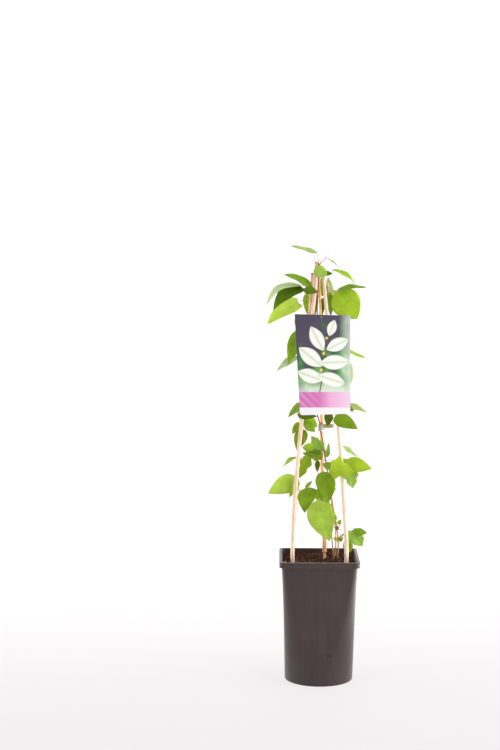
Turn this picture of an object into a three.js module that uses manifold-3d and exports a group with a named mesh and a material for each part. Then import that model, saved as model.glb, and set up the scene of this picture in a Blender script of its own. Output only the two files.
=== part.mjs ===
// A young clematis trained up a frame of bamboo canes in a tall nursery pot.
// Millimetres, +Z up, origin at the middle of the pot's base. The front is towards -Y.
import * as THREE from 'three';
import { mergeVertices } from 'three/addons/utils/BufferGeometryUtils.js';
import Module from 'manifold-3d';

const wasm = await Module();
wasm.setup();

// Fit
const GAP = 0.3;
const LOOSE = 0.45;
const STEM_LOOSE = 0.8;

// Pot: square at the mouth, its corners rounder and rounder towards the round base
const POT_HEIGHT = 213.7;
const POT_BASE_HALF = 58.4;
const POT_TAPER = 3.2;
const POT_FLARE = 2.6;
const POT_WALL = 1.4;
const POT_FLOOR = 1.8;
const POT_BODY_TOP = 208;
const POT_TURN = THREE.MathUtils.degToRad(-1.15);
const POT_SIDES = 32;
const POT_RINGS = [25, 65, 110, 150, 185, POT_BODY_TOP];
const MOUTH_CORNER = 0.1;
const CORNER_GROWTH = 1.5;
const RIM_HALF = 68;
const RIM_SKIRT = 9.2;
const RIM_WALL = 1.5;
const RIM_ROUND = 1;
const DRAIN_COUNT = 4;
const DRAIN_SIDES = 8;
const DRAIN_RADIUS = 4;
const DRAIN_CIRCLE = 40;

// Soil
const SOIL_LEVEL = 200;
const SOIL_MOUND = 2.5;
const SOIL_BANK = { from: -5, rise: 0.08, slant: 0.0006 };
const CLEAR_ABOVE = 10;
const SOIL_TOP_RINGS = [0.86, 0.66, 0.45, 0.24];

// Canes: path points [x, y, z] of the middle line, radii at the bottom and top, heights of the joints
const CANE_SIDES = 8;
const CANE_STEP = 110;
const CURVE_SAMPLES = 240;
const KNUCKLE = 0.5;
const KNUCKLE_REACH = 2.5;
const CANE_FRONT_LEFT = {
  path: [[-45.8, -46, 92], [-46.3, -45.5, 189], [-46.2, -45, 240], [-43, -38, 316], [-38.9, -34, 366],
    [-34.2, -30.3, 417], [-30.8, -27.7, 450], [-12.6, -14, 632], [-8, -11, 674], [-6.2, -8.5, 716]],
  radii: [3.8, 2.9],
  joints: [165, 292, 425, 560, 690],
};
const CANE_BACK_LEFT = {
  path: [[-43.7, 45, 92], [-43.6, 45, 215], [-37.1, 34, 337], [-30.1, 24, 445], [-16.4, 8.5, 632],
    [-14.7, 7, 655], [-12.4, 4, 698]],
  radii: [3.8, 3],
  joints: [150, 268, 392, 520, 645],
};
const CANE_FRONT_RIGHT = {
  path: [[44.8, -46, 92], [44.6, -45.5, 189], [44.1, -44.5, 240], [40.1, -38, 316], [36.7, -33.5, 366],
    [32.9, -29, 417], [30.4, -27, 442], [11.4, -11.5, 632], [7.5, -8, 676], [4.9, -6, 706]],
  radii: [4, 2.9],
  joints: [128, 257, 390, 527, 665],
};
const STAKE = {
  path: [[10.8, 18, 70], [10.6, 18, 176], [10.6, 17.5, 228], [7.9, 15, 307], [5.9, 13, 363],
    [5.1, 11.5, 412], [4.4, 10.5, 450], [1.6, 7, 632], [-0.7, 6, 677], [-2, 5.5, 706]],
  radii: [4.4, 2],
  joints: [106, 216, 330, 442, 556, 668],
};

// Climbing stems, from their roots in the soil to their tops
const STEM_SIDES = 5;
const STALK_SIDES = 4;
const STALK_RADIUS = 0.85;
const LEFT_STEM = {
  radius: 1.2,
  steps: 30,
  path: [[28, 18, 165], [26.9, 17, 202], [23.2, 16, 241], [22.2, 13, 281], [16.5, 5, 304],
    [-0.2, 0, 314], [-19.4, -3, 319], [-33, -11, 326], [-38.5, -24, 341], [-37.5, -27, 356],
    [-35.7, -25, 373], [-33.1, -23, 399],
    [-30.6, -21, 424], [-28, -19, 449], [-22.4, -13, 500], [-15.6, -7, 567], [-9.6, -3, 622],
    [-7.2, -1, 652], [-6, 0, 673]],
};
const CENTRE_STEM = {
  radius: 1.3,
  steps: 32,
  path: [[32, 24, 165], [33.2, 23, 201], [34.2, 22, 219], [34.6, 20, 233], [32.6, 17, 253],
    [27.5, 14, 281], [22.8, 9, 308], [18, 3, 335], [14, -1, 360], [10.4, -2.6, 382], [6.6, 0, 409],
    [2.4, 2.4, 427], [1, 3.2, 441], [-3.6, 5.6, 458], [-5.4, 7, 481], [-5.3, 6, 533], [-4.5, 4, 584],
    [-4.1, 1, 632], [-3.3, -1, 669], [-2.1, -1.6, 695], [-1.7, -2, 713]],
};
const RIGHT_STEM = {
  radius: 1.2,
  steps: 28,
  path: [[30, 38, 165], [30.4, 36, 205], [31.2, 31, 234], [30.2, 27, 256], [25.2, 20, 285],
    [21.2, 12, 316], [19.3, 5, 343], [17.8, 0, 363], [19.9, -8, 371], [28.4, -18, 380],
    [36, -21, 397], [34, -19, 417], [31.3, -16, 442], [26.8, -12, 483], [22, -7, 537],
    [18, -3, 584], [14.8, 1, 622], [13, 3, 652], [12.2, 4, 676]],
};
const KNOT = { at: [32, 16.4, 258], radius: 3.6 };

// Leaves
const BLADE = 0.8;
const LONG_LEAF = 40;
const LONG_STATIONS = [0, 0.12, 0.28, 0.46, 0.64, 0.82, 1];
const SHORT_STATIONS = [0, 0.18, 0.42, 0.72, 1];
const STALK_SINK = 3;
const SHORTEST_EDGE = 0.03;
const FLATTEN = 0.01;
// How each form swells along its midrib: where it is widest, how blunt it is, how far its base lobes hang
const FORMS = {
  ovate: { belly: 0.66, blunt: 0.85, lobe: 0.02 },
  narrow: { belly: 0.75, blunt: 1, lobe: 0.02 },
  round: { belly: 0.78, blunt: 0.72, lobe: 0.05 },
  heart: { belly: 0.54, blunt: 0.72, lobe: 0.08 },
  lobed: { belly: 0.6, blunt: 0.8, lobe: 0.06, cut: 0.2 },
};
const FRONT = [0, -1, 0.1];
const BACK = [0, 0.8, 0.5];
const BACK_LEFT = [-0.4, 0.7, 0.5];
const BACK_RIGHT = [0.4, 0.7, 0.5];

// from is the height on the stem where the leaf's stalk starts
const PLAIN_LEAF = { arch: 0, fold: 8, bend: 0, skew: 0, wave: 0.8, form: 'ovate' };

function leaf(from, base, tip, width, face, shape = {}) {
  return { ...PLAIN_LEAF, from, base, tip, width, face, ...shape };
}

const LEFT_LEAVES = [
  leaf(669, [-13, -6, 673], [-61, -16, 696], 22, [0.2, -0.62, 0.8], { arch: 4 }),
  leaf(669, [-33, 3, 677], [-92, 0, 639], 24, [-0.55, -0.42, 0.66], { arch: 17 }),
  leaf(669, [-28, -9, 672], [-79, -20, 635], 29, [-0.35, -0.8, 0.5], { arch: 5, bend: 9 }),
  leaf(655, [-37, -8, 648], [-89, -20, 612], 28, [-0.1, -1, 0.1], { arch: 2, bend: 5, form: 'heart' }),
  leaf(665, [-28, -15.5, 670], [-4, -18.5, 664.5], 15, [0, -1, 0.4],
    { arch: 1, fold: -6, bend: -2, wave: 0.4 }),
  leaf(601, [-36, -9, 600], [-53, -18, 545], 24, [-0.2, -1, 0.1], { arch: 2 }),
  leaf(558, [-37, -6, 556], [-73, -14, 532], 15, [-0.3, -0.8, 0.5], { arch: 2, bend: 2 }),
  leaf(485, [-28, -14, 478], [-54, -26, 455], 15, [-0.3, -0.9, 0.3], { arch: 2 }),
  leaf(447, [-34, -21, 445], [-47, -24, 426], 13, [-0.3, -1, 0.2], { arch: 1 }),
  leaf(461, [-38, -33.2, 460], [-5, -33.4, 457], 14, FRONT, { fold: 2, wave: 0.3, via: [-37.5, -24, 464] }),
  leaf(450, [-27, -18, 450], [-4, -16, 438], 22, FRONT, { arch: 1, form: 'round' }),
  leaf(444, [-25, -25, 445], [-8, -26, 430], 16, FRONT, { arch: 1 }),
  leaf(430, [-27, -20, 433], [-39, -22, 398], 23, FRONT, { arch: 1, bend: 1 }),
  leaf(382, [-37, -23, 387], [-63, -30, 370], 12, [-0.5, -0.45, 0.75], { arch: 4, form: 'narrow' }),
  leaf(385, [-19, -20, 388], [-35, -21, 350], 19, FRONT, { arch: 1, form: 'lobed' }),
  leaf(354, [-35, -24, 346], [-88, -32, 325], 33, [-0.1, -1, 0.15], { arch: 2, bend: 3 }),
  leaf(344, [-38, -21, 343], [-52, -25, 319], 13, FRONT, { arch: 1 }),
  leaf(317, [-11, -12, 332], [-25, -16, 290], 30, [0, -1, 0.2], { arch: 2, bend: 6.5 }),
  leaf(321, [-24, -13, 333], [-12, -13, 345], 7, [0, -1, 0.3], { form: 'narrow' }),
  leaf(600, [-27, 20, 596], [-42, 38, 562], 26, BACK_LEFT, { arch: 3, via: [-22, 2, 602] }),
  leaf(462, [-26, 2, 458], [-22, 20, 430], 20, BACK, { arch: 2 }),
  leaf(628, [-28, 14, 624], [-34, 34, 600], 24, BACK_LEFT, { arch: 3, via: [-21, 0, 631] }),
];
const CENTRE_LEAVES = [
  leaf(712, [-5, -2, 732], [-50, -12, 744], 19, [0.1, -0.42, 0.9]),
  leaf(712, [11, -2, 724], [33, -8, 707], 12, [0.65, -0.12, 0.8], { arch: 1, form: 'narrow' }),
  leaf(711, [-9, -18, 706], [11, -19, 694], 22, [0, -1, 0.3],
    { arch: 1, fold: -8, form: 'round', via: [0.5, -10, 711.5] }),
  leaf(658, [-19, 16, 665], [-18, 15, 623], 19, [-0.2, -1, 0], { arch: 1, wave: 0.4, via: [-7.4, 10, 664] }),
  leaf(464, [17, -8, 462], [13, -12, 438], 16, FRONT, { arch: 1, via: [2, -5, 468] }),
  leaf(395, [4, -9, 395], [-14, -13, 421], 21, [0.2, -1, 0.1], { arch: 1, form: 'lobed' }),
  leaf(392, [-9, -11, 400], [-30, -15, 402], 18, [0, -1, 0.2], { arch: 1 }),
  leaf(389, [4, -14, 392], [-20, -19.5, 394], 10, [0, -0.7, 0.7], { arch: 1 }),
  leaf(385, [5, -9, 386], [-29, -14, 392], 17, [0, -1, -0.1], { arch: 1, form: 'lobed' }),
  leaf(378, [-3, -5, 379], [-3, -6, 359], 9, FRONT),
  leaf(356, [5, -10, 359], [15, -20, 308], 34, [0, -1, 0.2], { arch: 2, bend: -2 }),
  leaf(312, [-7, -14, 310], [17, -26, 244], 46, FRONT, { arch: 3, via: [10, -8, 316] }),
  leaf(309, [5, -10, 307], [23, -12, 298], 14, FRONT, { arch: 1 }),
  leaf(330, [-4, -8, 329], [5, -10, 304], 17, FRONT, { arch: 1, wave: 0.4 }),
  leaf(271, [29, 9, 273], [26, 7, 287], 7, FRONT),
  leaf(262, [33, 12, 266], [39, 10, 274], 7, FRONT),
  leaf(238, [55, -16, 259], [73, -24, 234], 30, [0.1, -1, 0.15], { arch: 1, form: 'lobed' }),
  leaf(238, [59, -20, 259], [81, -25, 257], 14, [0.1, -1, 0.3], { arch: 1, form: 'narrow' }),
  leaf(238, [45, -27, 244], [52, -30, 225], 18, FRONT, { arch: 1, form: 'round' }),
  leaf(236, [33, 16, 236], [26, 14, 243], 7, FRONT, { wave: 0.2 }),
  leaf(234, [36, 16, 236], [42, 12, 241], 7, FRONT, { wave: 0.2 }),
  leaf(600, [-3, 22, 600], [4, 46, 570], 28, BACK, { arch: 4, via: [-7, 12, 604] }),
  leaf(540, [-10, 24, 540], [-22, 46, 512], 26, BACK_LEFT, { arch: 3 }),
  leaf(505, [-2, 24, 504], [14, 44, 476], 26, BACK_RIGHT, { arch: 3, via: [-5, 16, 507] }),
  leaf(402, [-8, 6, 402], [-22, 24, 394], 20, [0, 0.5, 0.8], { arch: 2 }),
  leaf(300, [16, 26, 292], [2, 44, 268], 26, BACK, { arch: 3, via: [16, 16, 300] }),
  leaf(330, [22, 22, 330], [14, 40, 308], 24, BACK, { arch: 3, via: [27, 10, 333] }),
  leaf(711, [3, -16.3, 696], [21.5, -16.8, 696.5], 9, FRONT,
    { bend: -1.2, wave: 0.3, form: 'narrow', via: [1.5, -12, 708] }),
  leaf(650, [-8, 14, 662], [-7, 13, 629], 7, FRONT, { wave: 0.4 }),
];
const RIGHT_LEAVES = [
  leaf(674, [21, 2, 703], [60, -8, 679], 14, [0.5, -0.6, 0.65], { arch: 6, fold: 14, form: 'narrow' }),
  leaf(662, [30, -2, 669], [78, -12, 674], 20, [0, -0.42, 0.9], { arch: 2.5 }),
  leaf(660, [30, -2, 666], [63, -12, 621], 51, FRONT, { arch: 2, fold: 5, form: 'round' }),
  leaf(654, [5, 16, 659], [5, 15, 694], 15, FRONT, { arch: 1, fold: 6 }),
  leaf(658, [19, 11, 660], [14, 10, 691], 14, [0.2, -1, 0], { arch: 1, fold: 6 }),
  leaf(664, [17, 5, 664], [19, 3, 625], 16, [0.5, -0.9, 0], { arch: 1, form: 'narrow' }),
  leaf(575, [40, -12, 569], [78, -20, 554], 14, [0.3, -0.4, 0.9], { form: 'narrow' }),
  leaf(550, [44, -12, 549], [51, -16, 506], 21, [0.3, -1, 0.05], { arch: 2 }),
  leaf(481, [45, -16, 476], [79, -24, 463], 15, [0.2, -0.6, 0.8], { arch: 1.2 }),
  leaf(474, [43, -20, 473], [57, -22, 465], 10, [0.2, -0.9, 0.3], { arch: 1 }),
  leaf(464, [23, -33, 454], [63, -38, 436], 24, FRONT,
    { arch: 1, fold: 4, bend: -3, wave: 0.5, via: [20.5, -22, 462] }),
  leaf(372, [13, -8, 385], [16, -10, 409], 9, [0.3, -1, 0]),
  leaf(367, [20, -9, 368], [5, -8, 374], 14, FRONT, { wave: 0.4 }),
  leaf(373, [17, -36, 373], [57, -45, 363], 33, FRONT, { arch: 2, fold: 5, form: 'lobed' }),
  leaf(378, [44, -33, 379], [87, -38, 369], 26, [0.15, -1, 0.15], { arch: 2, fold: 5 }),
  leaf(372, [50, -36, 366], [55, -40, 336], 24, [0.1, -1, 0.1], { arch: 1, form: 'lobed' }),
  leaf(402, [40, -20, 405], [64, -18, 387], 14, [0.55, -0.5, 0.8], { fold: 5, form: 'narrow' }),
  leaf(600, [30, 14, 600], [46, 34, 572], 28, BACK_RIGHT, { arch: 3 }),
  leaf(537, [34, 8, 536], [46, 30, 508], 26, BACK_RIGHT, { arch: 3 }),
  leaf(497, [28, 8, 494], [24, 32, 472], 24, BACK, { arch: 3 }),
  leaf(382, [42, -6, 382], [48, 12, 364], 22, BACK_RIGHT, { arch: 2 }),
  leaf(672, [24, 14, 668], [40, 30, 642], 26, BACK_RIGHT, { arch: 3 }),
  leaf(648, [6, 13, 655], [4.5, 12, 624], 9, FRONT, { wave: 0.4 }),
];
// Leafless stalks and the tendril at the top
const CENTRE_STALKS = [
  [[-2, -2, 711], [-8, -3, 719], [-10, -4, 731]],
  [[-1.8, -2, 711.5], [8, -2, 720], [12.5, -2, 729], [16.3, -3, 738]],
  [[1, -13.2, 350], [-7, -11, 366], [-10, -12, 387]],
];
const RIGHT_STALKS = [[[21, -9, 372], [21.5, -11, 383], [19.5, -12, 393]]];

// Label: corners measured in its own plane from the hole, clockwise from the top left
const LABEL_CORNERS = [[-44.8, 4.5, 1.5], [49.4, 2, 1.5], [48.7, -163.5, 5], [-36, -166, 5]];
const LABEL_THICK = 0.8;
const LABEL_HOLE = 1.7;
const LABEL_AT = [1.7, -18.2, 624.3];
const LABEL_LEAN = THREE.MathUtils.degToRad(6.4);
const LABEL_THREAD = 0.5;
const LABEL_KNOT = 2.2;

// Ties
const BAND = 1;
const TOP_TIE = { low: 697, high: 703.5 };
const STAKE_TIE = { low: 428.4, high: 439.6, stemRoom: 1.3 };
const TAIL = { length: 17, high: 7, thick: 0.8, at: [7.6, 8.3, 435.5], turn: 0.08, dip: 0.1 };

// Helpers

function toSolid(geometry, near = 1e-4) {
  const bare = geometry.clone();
  bare.deleteAttribute('normal');
  bare.deleteAttribute('uv');
  const merged = mergeVertices(bare, near);
  const index = merged.index.array;
  const corners = [];
  for (let i = 0; i < index.length; i += 3) {
    const [a, b, c] = [index[i], index[i + 1], index[i + 2]];
    if (a !== b && b !== c && c !== a) corners.push(a, b, c);
  }
  return new wasm.Manifold(new wasm.Mesh({
    numProp: 3,
    vertProperties: Float32Array.from(merged.attributes.position.array),
    triVerts: Uint32Array.from(corners),
  }));
}

function toGeometry(solid) {
  const { vertProperties, triVerts } = solid.getMesh();
  const geometry = new THREE.BufferGeometry();
  geometry.setAttribute('position', new THREE.BufferAttribute(vertProperties, 3));
  geometry.setIndex(new THREE.BufferAttribute(triVerts, 1));
  geometry.computeVertexNormals();
  return geometry;
}

function moveVertices(geometry, move) {
  const position = geometry.attributes.position;
  const point = new THREE.Vector3();
  for (let i = 0; i < position.count; i += 1) {
    point.fromBufferAttribute(position, i);
    move(point);
    position.setXYZ(i, point.x, point.y, point.z);
  }
  return geometry;
}

function vector(numbers) {
  return new THREE.Vector3(...numbers);
}

function curveThrough(path) {
  return new THREE.CatmullRomCurve3(path.map(vector), false, 'centripetal');
}

// The place at one height on a rising line of points
function placeAt(points, height) {
  const next = points.findIndex((point) => point.z >= height);
  if (next < 0) return points[points.length - 1].clone();
  if (next === 0) return points[0].clone();
  const [low, high] = [points[next - 1], points[next]];
  return low.clone().lerp(high, (height - low.z) / (high.z - low.z));
}

function canePoints(cane) {
  return curveThrough(cane.path).getPoints(CURVE_SAMPLES);
}

function stemPoints(stem) {
  return curveThrough(stem.path).getSpacedPoints(stem.steps);
}

function tube(path, radius, steps, sides) {
  const shape = new THREE.Shape();
  for (let i = 0; i < sides; i += 1) {
    const angle = (2 * Math.PI * i) / sides;
    const [x, y] = [radius * Math.cos(angle), radius * Math.sin(angle)];
    if (i === 0) shape.moveTo(x, y);
    else shape.lineTo(x, y);
  }
  shape.closePath();
  return new THREE.ExtrudeGeometry(shape, { steps, extrudePath: curveThrough(path), curveSegments: 1 });
}

// A lathe whose axis is +Z
function turned(profile, sides, start = 0) {
  const points = profile.map(([radius, height]) => new THREE.Vector2(radius, height));
  return new THREE.LatheGeometry(points, sides, start).rotateX(Math.PI / 2);
}

// Pot and soil

function potHalf(height) {
  const up = height / POT_BODY_TOP;
  return POT_BASE_HALF + POT_TAPER * up + POT_FLARE * up ** 4;
}

// How far a rounded square with a half side of 1 reaches at an angle
function squareReach(angle, corner) {
  const quarter = Math.PI / 2;
  const turn = Math.abs(angle - quarter * Math.round(angle / quarter));
  const core = 1 - corner;
  if (Math.tan(turn) <= core) return 1 / Math.cos(turn);
  const middle = core * (Math.cos(turn) + Math.sin(turn));
  return middle + Math.sqrt(Math.max(middle ** 2 - 2 * core ** 2 + corner ** 2, 0));
}

// Turns a lathe's circle into the pot's section at that height
function squareOff(point) {
  const below = Math.max(1 - point.z / POT_BODY_TOP, 0);
  const corner = MOUTH_CORNER + (1 - MOUTH_CORNER) * below ** CORNER_GROWTH;
  const stretch = squareReach(Math.atan2(point.y, point.x) - POT_TURN, corner);
  point.x *= stretch;
  point.y *= stretch;
}

function potLathe(profile) {
  return turned(profile, POT_SIDES, POT_TURN);
}

function makePot() {
  const skirtFoot = POT_HEIGHT - RIM_SKIRT;
  const outside = POT_RINGS.map((height) => [potHalf(height), height]);
  const inside = POT_RINGS.map((height) => [potHalf(height) - POT_WALL, height]);
  const mouth = potHalf(POT_BODY_TOP) - POT_WALL;
  const body = [
    [0, 0], [POT_BASE_HALF - 1, 0], [POT_BASE_HALF, 1.5],
    ...outside,
    [RIM_HALF - RIM_WALL, POT_BODY_TOP + 2], [RIM_HALF - RIM_WALL, skirtFoot], [RIM_HALF, skirtFoot],
    [RIM_HALF, POT_HEIGHT - RIM_ROUND], [RIM_HALF - RIM_ROUND, POT_HEIGHT], [0, POT_HEIGHT],
  ];
  const cavity = [
    [0, POT_FLOOR], [POT_BASE_HALF - POT_WALL, POT_FLOOR],
    ...inside,
    [mouth, POT_HEIGHT - RIM_ROUND], [mouth + 2 * RIM_ROUND, POT_HEIGHT + RIM_ROUND],
    [0, POT_HEIGHT + RIM_ROUND],
  ];
  const squared = (profile) => toSolid(moveVertices(potLathe(profile), squareOff));
  let solid = squared(body).subtract(squared(cavity));
  for (let i = 0; i < DRAIN_COUNT; i += 1) {
    const angle = (2 * Math.PI * i) / DRAIN_COUNT;
    const drain = new THREE.CylinderGeometry(DRAIN_RADIUS, DRAIN_RADIUS, 4 * POT_FLOOR, DRAIN_SIDES)
      .rotateX(Math.PI / 2)
      .translate(DRAIN_CIRCLE * Math.cos(angle), DRAIN_CIRCLE * Math.sin(angle), 0);
    solid = solid.subtract(toSolid(drain));
  }
  return solid;
}

// Clods and crumbs on the soil, higher in the middle and banked up towards the back
function soilHeight(x, y) {
  const out = Math.min(Math.hypot(x, y) / POT_BASE_HALF, 1);
  const clods = 1.5 * Math.sin(0.19 * x + 1.3) * Math.cos(0.23 * y - 0.4);
  const crumbs = 0.9 * Math.sin(0.47 * x - 0.31 * y) + 0.7 * Math.sin(0.61 * y + 0.35 * x + 2);
  const bank = Math.max(y - SOIL_BANK.from, 0) * (SOIL_BANK.rise + SOIL_BANK.slant * x);
  return (clods + crumbs) * (1 - 0.6 * out) + SOIL_MOUND * (1 - out * out) + bank;
}

function makeSoil(clearances) {
  const low = POT_FLOOR + GAP;
  const inset = POT_WALL + GAP;
  const rings = POT_RINGS.filter((height) => height < SOIL_LEVEL);
  const side = rings.map((height) => [potHalf(height) - inset, height]);
  const edge = potHalf(SOIL_LEVEL) - inset;
  const profile = [
    [0, low], [POT_BASE_HALF - inset, low],
    ...side,
    [edge, SOIL_LEVEL],
    ...SOIL_TOP_RINGS.map((share) => [share * edge, SOIL_LEVEL]),
    [0, SOIL_LEVEL],
  ];
  const lathe = moveVertices(potLathe(profile), (point) => {
    const onTop = point.z === SOIL_LEVEL;
    squareOff(point);
    if (onTop) point.z += soilHeight(point.x, point.y);
  });
  return clearances.reduce((soil, clearance) => soil.subtract(clearance), toSolid(lathe));
}

// Canes

function caneRadius(cane, height) {
  const bottom = cane.path[0][2];
  const top = cane.path[cane.path.length - 1][2];
  return THREE.MathUtils.lerp(cane.radii[0], cane.radii[1], (height - bottom) / (top - bottom));
}

function caneWall(cane) {
  const bottom = cane.path[0][2];
  const top = cane.path[cane.path.length - 1][2];
  const rings = [bottom, top];
  for (let height = bottom + CANE_STEP; height < top - CANE_STEP / 3; height += CANE_STEP) rings.push(height);
  cane.joints.forEach((height) => rings.push(height - KNUCKLE_REACH, height + KNUCKLE_REACH));
  const plain = rings.map((height) => [caneRadius(cane, height), height]);
  const swollen = cane.joints.map((height) => [caneRadius(cane, height) + KNUCKLE, height]);
  return [...plain, ...swollen].sort((a, b) => a[1] - b[1]);
}

function bentCane(cane, wall) {
  const bottom = wall[0][1];
  const top = wall[wall.length - 1][1];
  const lathe = turned([[0, bottom], ...wall, [0, top]], CANE_SIDES);
  const points = canePoints(cane);
  return toSolid(moveVertices(lathe, (point) => {
    const middle = placeAt(points, point.z);
    point.x += middle.x;
    point.y += middle.y;
  }));
}

// The room that a cane needs in the soil
function caneClearance(cane) {
  const wall = caneWall(cane);
  const end = wall.findIndex(([, height]) => height > SOIL_LEVEL + CLEAR_ABOVE);
  const roomy = wall.slice(0, end + 1).map(([radius, height]) => [radius + LOOSE, height]);
  roomy[0][1] -= GAP;
  return bentCane(cane, roomy);
}

// Leaves and stems

function halfWidth(form, along) {
  const { belly, blunt, cut = 0 } = FORMS[form];
  const swell = Math.max(Math.sin(Math.PI * along ** belly), 0) ** blunt;
  const cleft = along > 0.1 && along < 0.75 ? 1 + cut * Math.cos((2 * Math.PI * (along - 0.3)) / 0.42) : 1;
  return swell * cleft;
}

// The leaf's own directions: along the midrib, out of its face and across it
function leafFrame({ base, tip, face }) {
  const along = vector(tip).sub(vector(base));
  const length = along.length();
  along.normalize();
  const out = vector(face);
  out.addScaledVector(along, -out.dot(along)).normalize();
  const across = along.clone().cross(out);
  return { along, out, across, length };
}

function midribPoint(one, frame, share) {
  const swing = 4 * share * (1 - share);
  return vector(one.base)
    .addScaledVector(frame.along, frame.length * share)
    .addScaledVector(frame.out, one.arch * swing)
    .addScaledVector(frame.across, one.bend * swing);
}

function edgePoint(one, frame, share, hand, phase) {
  const fold = THREE.MathUtils.degToRad(one.fold);
  const half = (halfWidth(one.form, share) * one.width * (1 + hand * one.skew)) / 2;
  const back = share - FORMS[one.form].lobe * (1 - share) ** 5;
  const ripple = Math.sin(3.2 * Math.PI * share + phase + (hand > 0 ? 0 : 1.9));
  const fade = Math.min(1, 4 * share * (1 - share) + 0.2);
  return midribPoint(one, frame, back)
    .addScaledVector(frame.across, hand * half * Math.cos(fold))
    .addScaledVector(frame.out, half * Math.sin(fold) + one.wave * ripple * fade);
}

// A blade has the same triangles on both faces, and a wall round its edge
function makeBlade(one, phase) {
  const frame = leafFrame(one);
  const stations = frame.length > LONG_LEAF ? LONG_STATIONS : SHORT_STATIONS;
  const inner = stations.slice(1, -1);
  const top = [vector(one.base), vector(one.tip)];
  inner.forEach((share) => {
    top.push(
      edgePoint(one, frame, share, 1, phase),
      midribPoint(one, frame, share),
      edgePoint(one, frame, share, -1, phase),
    );
  });
  const bottom = top.map((point) => point.clone().addScaledVector(frame.out, -BLADE));
  const [base, tip, count, under] = [0, 1, inner.length, top.length];
  const right = (row) => 2 + 3 * row;
  const middle = (row) => 3 + 3 * row;
  const left = (row) => 4 + 3 * row;
  const last = count - 1;
  const faces = [
    [base, right(0), middle(0)], [base, middle(0), left(0)],
    [middle(last), right(last), tip], [left(last), middle(last), tip],
  ];
  for (let row = 0; row < last; row += 1) {
    faces.push([right(row), right(row + 1), middle(row + 1)], [right(row), middle(row + 1), middle(row)]);
    faces.push([middle(row), middle(row + 1), left(row + 1)], [middle(row), left(row + 1), left(row)]);
  }
  const rows = inner.map((_, row) => row);
  const outline = [base, ...rows.map(right), tip, ...rows.map(left).reverse()];
  const walls = outline.flatMap((from, i) => {
    const to = outline[(i + 1) % outline.length];
    return [[from + under, to + under, to], [from + under, to, from]];
  });
  const undersides = faces.map(([a, b, c]) => [c + under, b + under, a + under]);
  const geometry = new THREE.BufferGeometry().setFromPoints([...top, ...bottom]);
  geometry.setIndex([...faces, ...undersides, ...walls].flat());
  return toSolid(geometry);
}

function makeLeafStalk(one, stem) {
  const frame = leafFrame(one);
  const start = placeAt(stemPoints(stem), one.from);
  const end = midribPoint(one, frame, STALK_SINK / frame.length).addScaledVector(frame.out, -BLADE / 2);
  const neck = vector(one.base).addScaledVector(frame.out, -BLADE / 2);
  const span = start.distanceTo(neck);
  const risen = start.clone().lerp(neck, 0.5).add(new THREE.Vector3(0, 0, 0.1 * span));
  const via = one.via ? vector(one.via) : risen;
  const path = [start, via, neck, end].map((point) => point.toArray());
  return toSolid(tube(path, STALK_RADIUS, one.via || span > 25 ? 5 : 3, STALK_SIDES));
}

function makeVine(stem, leaves, stalks = [], extras = []) {
  const pieces = [toSolid(tube(stem.path, stem.radius, stem.steps, STEM_SIDES)), ...extras];
  leaves.forEach((one, i) => pieces.push(makeBlade(one, 1.7 * i), makeLeafStalk(one, stem)));
  stalks.forEach((path) => pieces.push(toSolid(tube(path, STALK_RADIUS, 4, STALK_SIDES))));
  const fused = wasm.Manifold.union(pieces).simplify(FLATTEN);
  return toSolid(toGeometry(fused), SHORTEST_EDGE).simplify(FLATTEN);
}

function makeKnot() {
  return toSolid(new THREE.IcosahedronGeometry(KNOT.radius, 0).translate(...KNOT.at));
}

function stemClearance(stem) {
  const points = stemPoints(stem);
  const foot = points[0].clone();
  foot.z -= GAP;
  const rooted = [foot, placeAt(points, SOIL_LEVEL - 15), placeAt(points, SOIL_LEVEL + 15)];
  return toSolid(tube(rooted.map((point) => point.toArray()), stem.radius + STEM_LOOSE, 3, STEM_SIDES));
}

// Ties and label

// A tape drawn tight round posts, given anticlockwise as { x, y, radius }
function tapeOutline(outline, posts, extra) {
  posts.forEach((post, i) => {
    const before = posts[(i + posts.length - 1) % posts.length];
    const after = posts[(i + 1) % posts.length];
    const outward = (a, b) => {
      const lean = Math.asin((a.radius - b.radius) / Math.hypot(b.x - a.x, b.y - a.y));
      return Math.atan2(b.y - a.y, b.x - a.x) - Math.PI / 2 + lean;
    };
    outline.absarc(post.x, post.y, post.radius + extra, outward(before, post), outward(post, after), false);
  });
  return outline;
}

function makeTape(posts, low, high) {
  const shape = tapeOutline(new THREE.Shape(), posts, BAND);
  shape.holes.push(tapeOutline(new THREE.Path(), posts, 0));
  const options = { depth: high - low, bevelEnabled: false, curveSegments: 4 };
  const geometry = new THREE.ExtrudeGeometry(shape, options);
  return toSolid(geometry.translate(0, 0, low));
}

function makeTopTie() {
  const middle = (TOP_TIE.low + TOP_TIE.high) / 2;
  const posts = [CANE_FRONT_LEFT, CANE_FRONT_RIGHT, STAKE].map((cane) => {
    const at = placeAt(canePoints(cane), middle);
    return { x: at.x, y: at.y, radius: caneRadius(cane, middle) + LOOSE };
  });
  return makeTape(posts, TOP_TIE.low, TOP_TIE.high);
}

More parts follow.
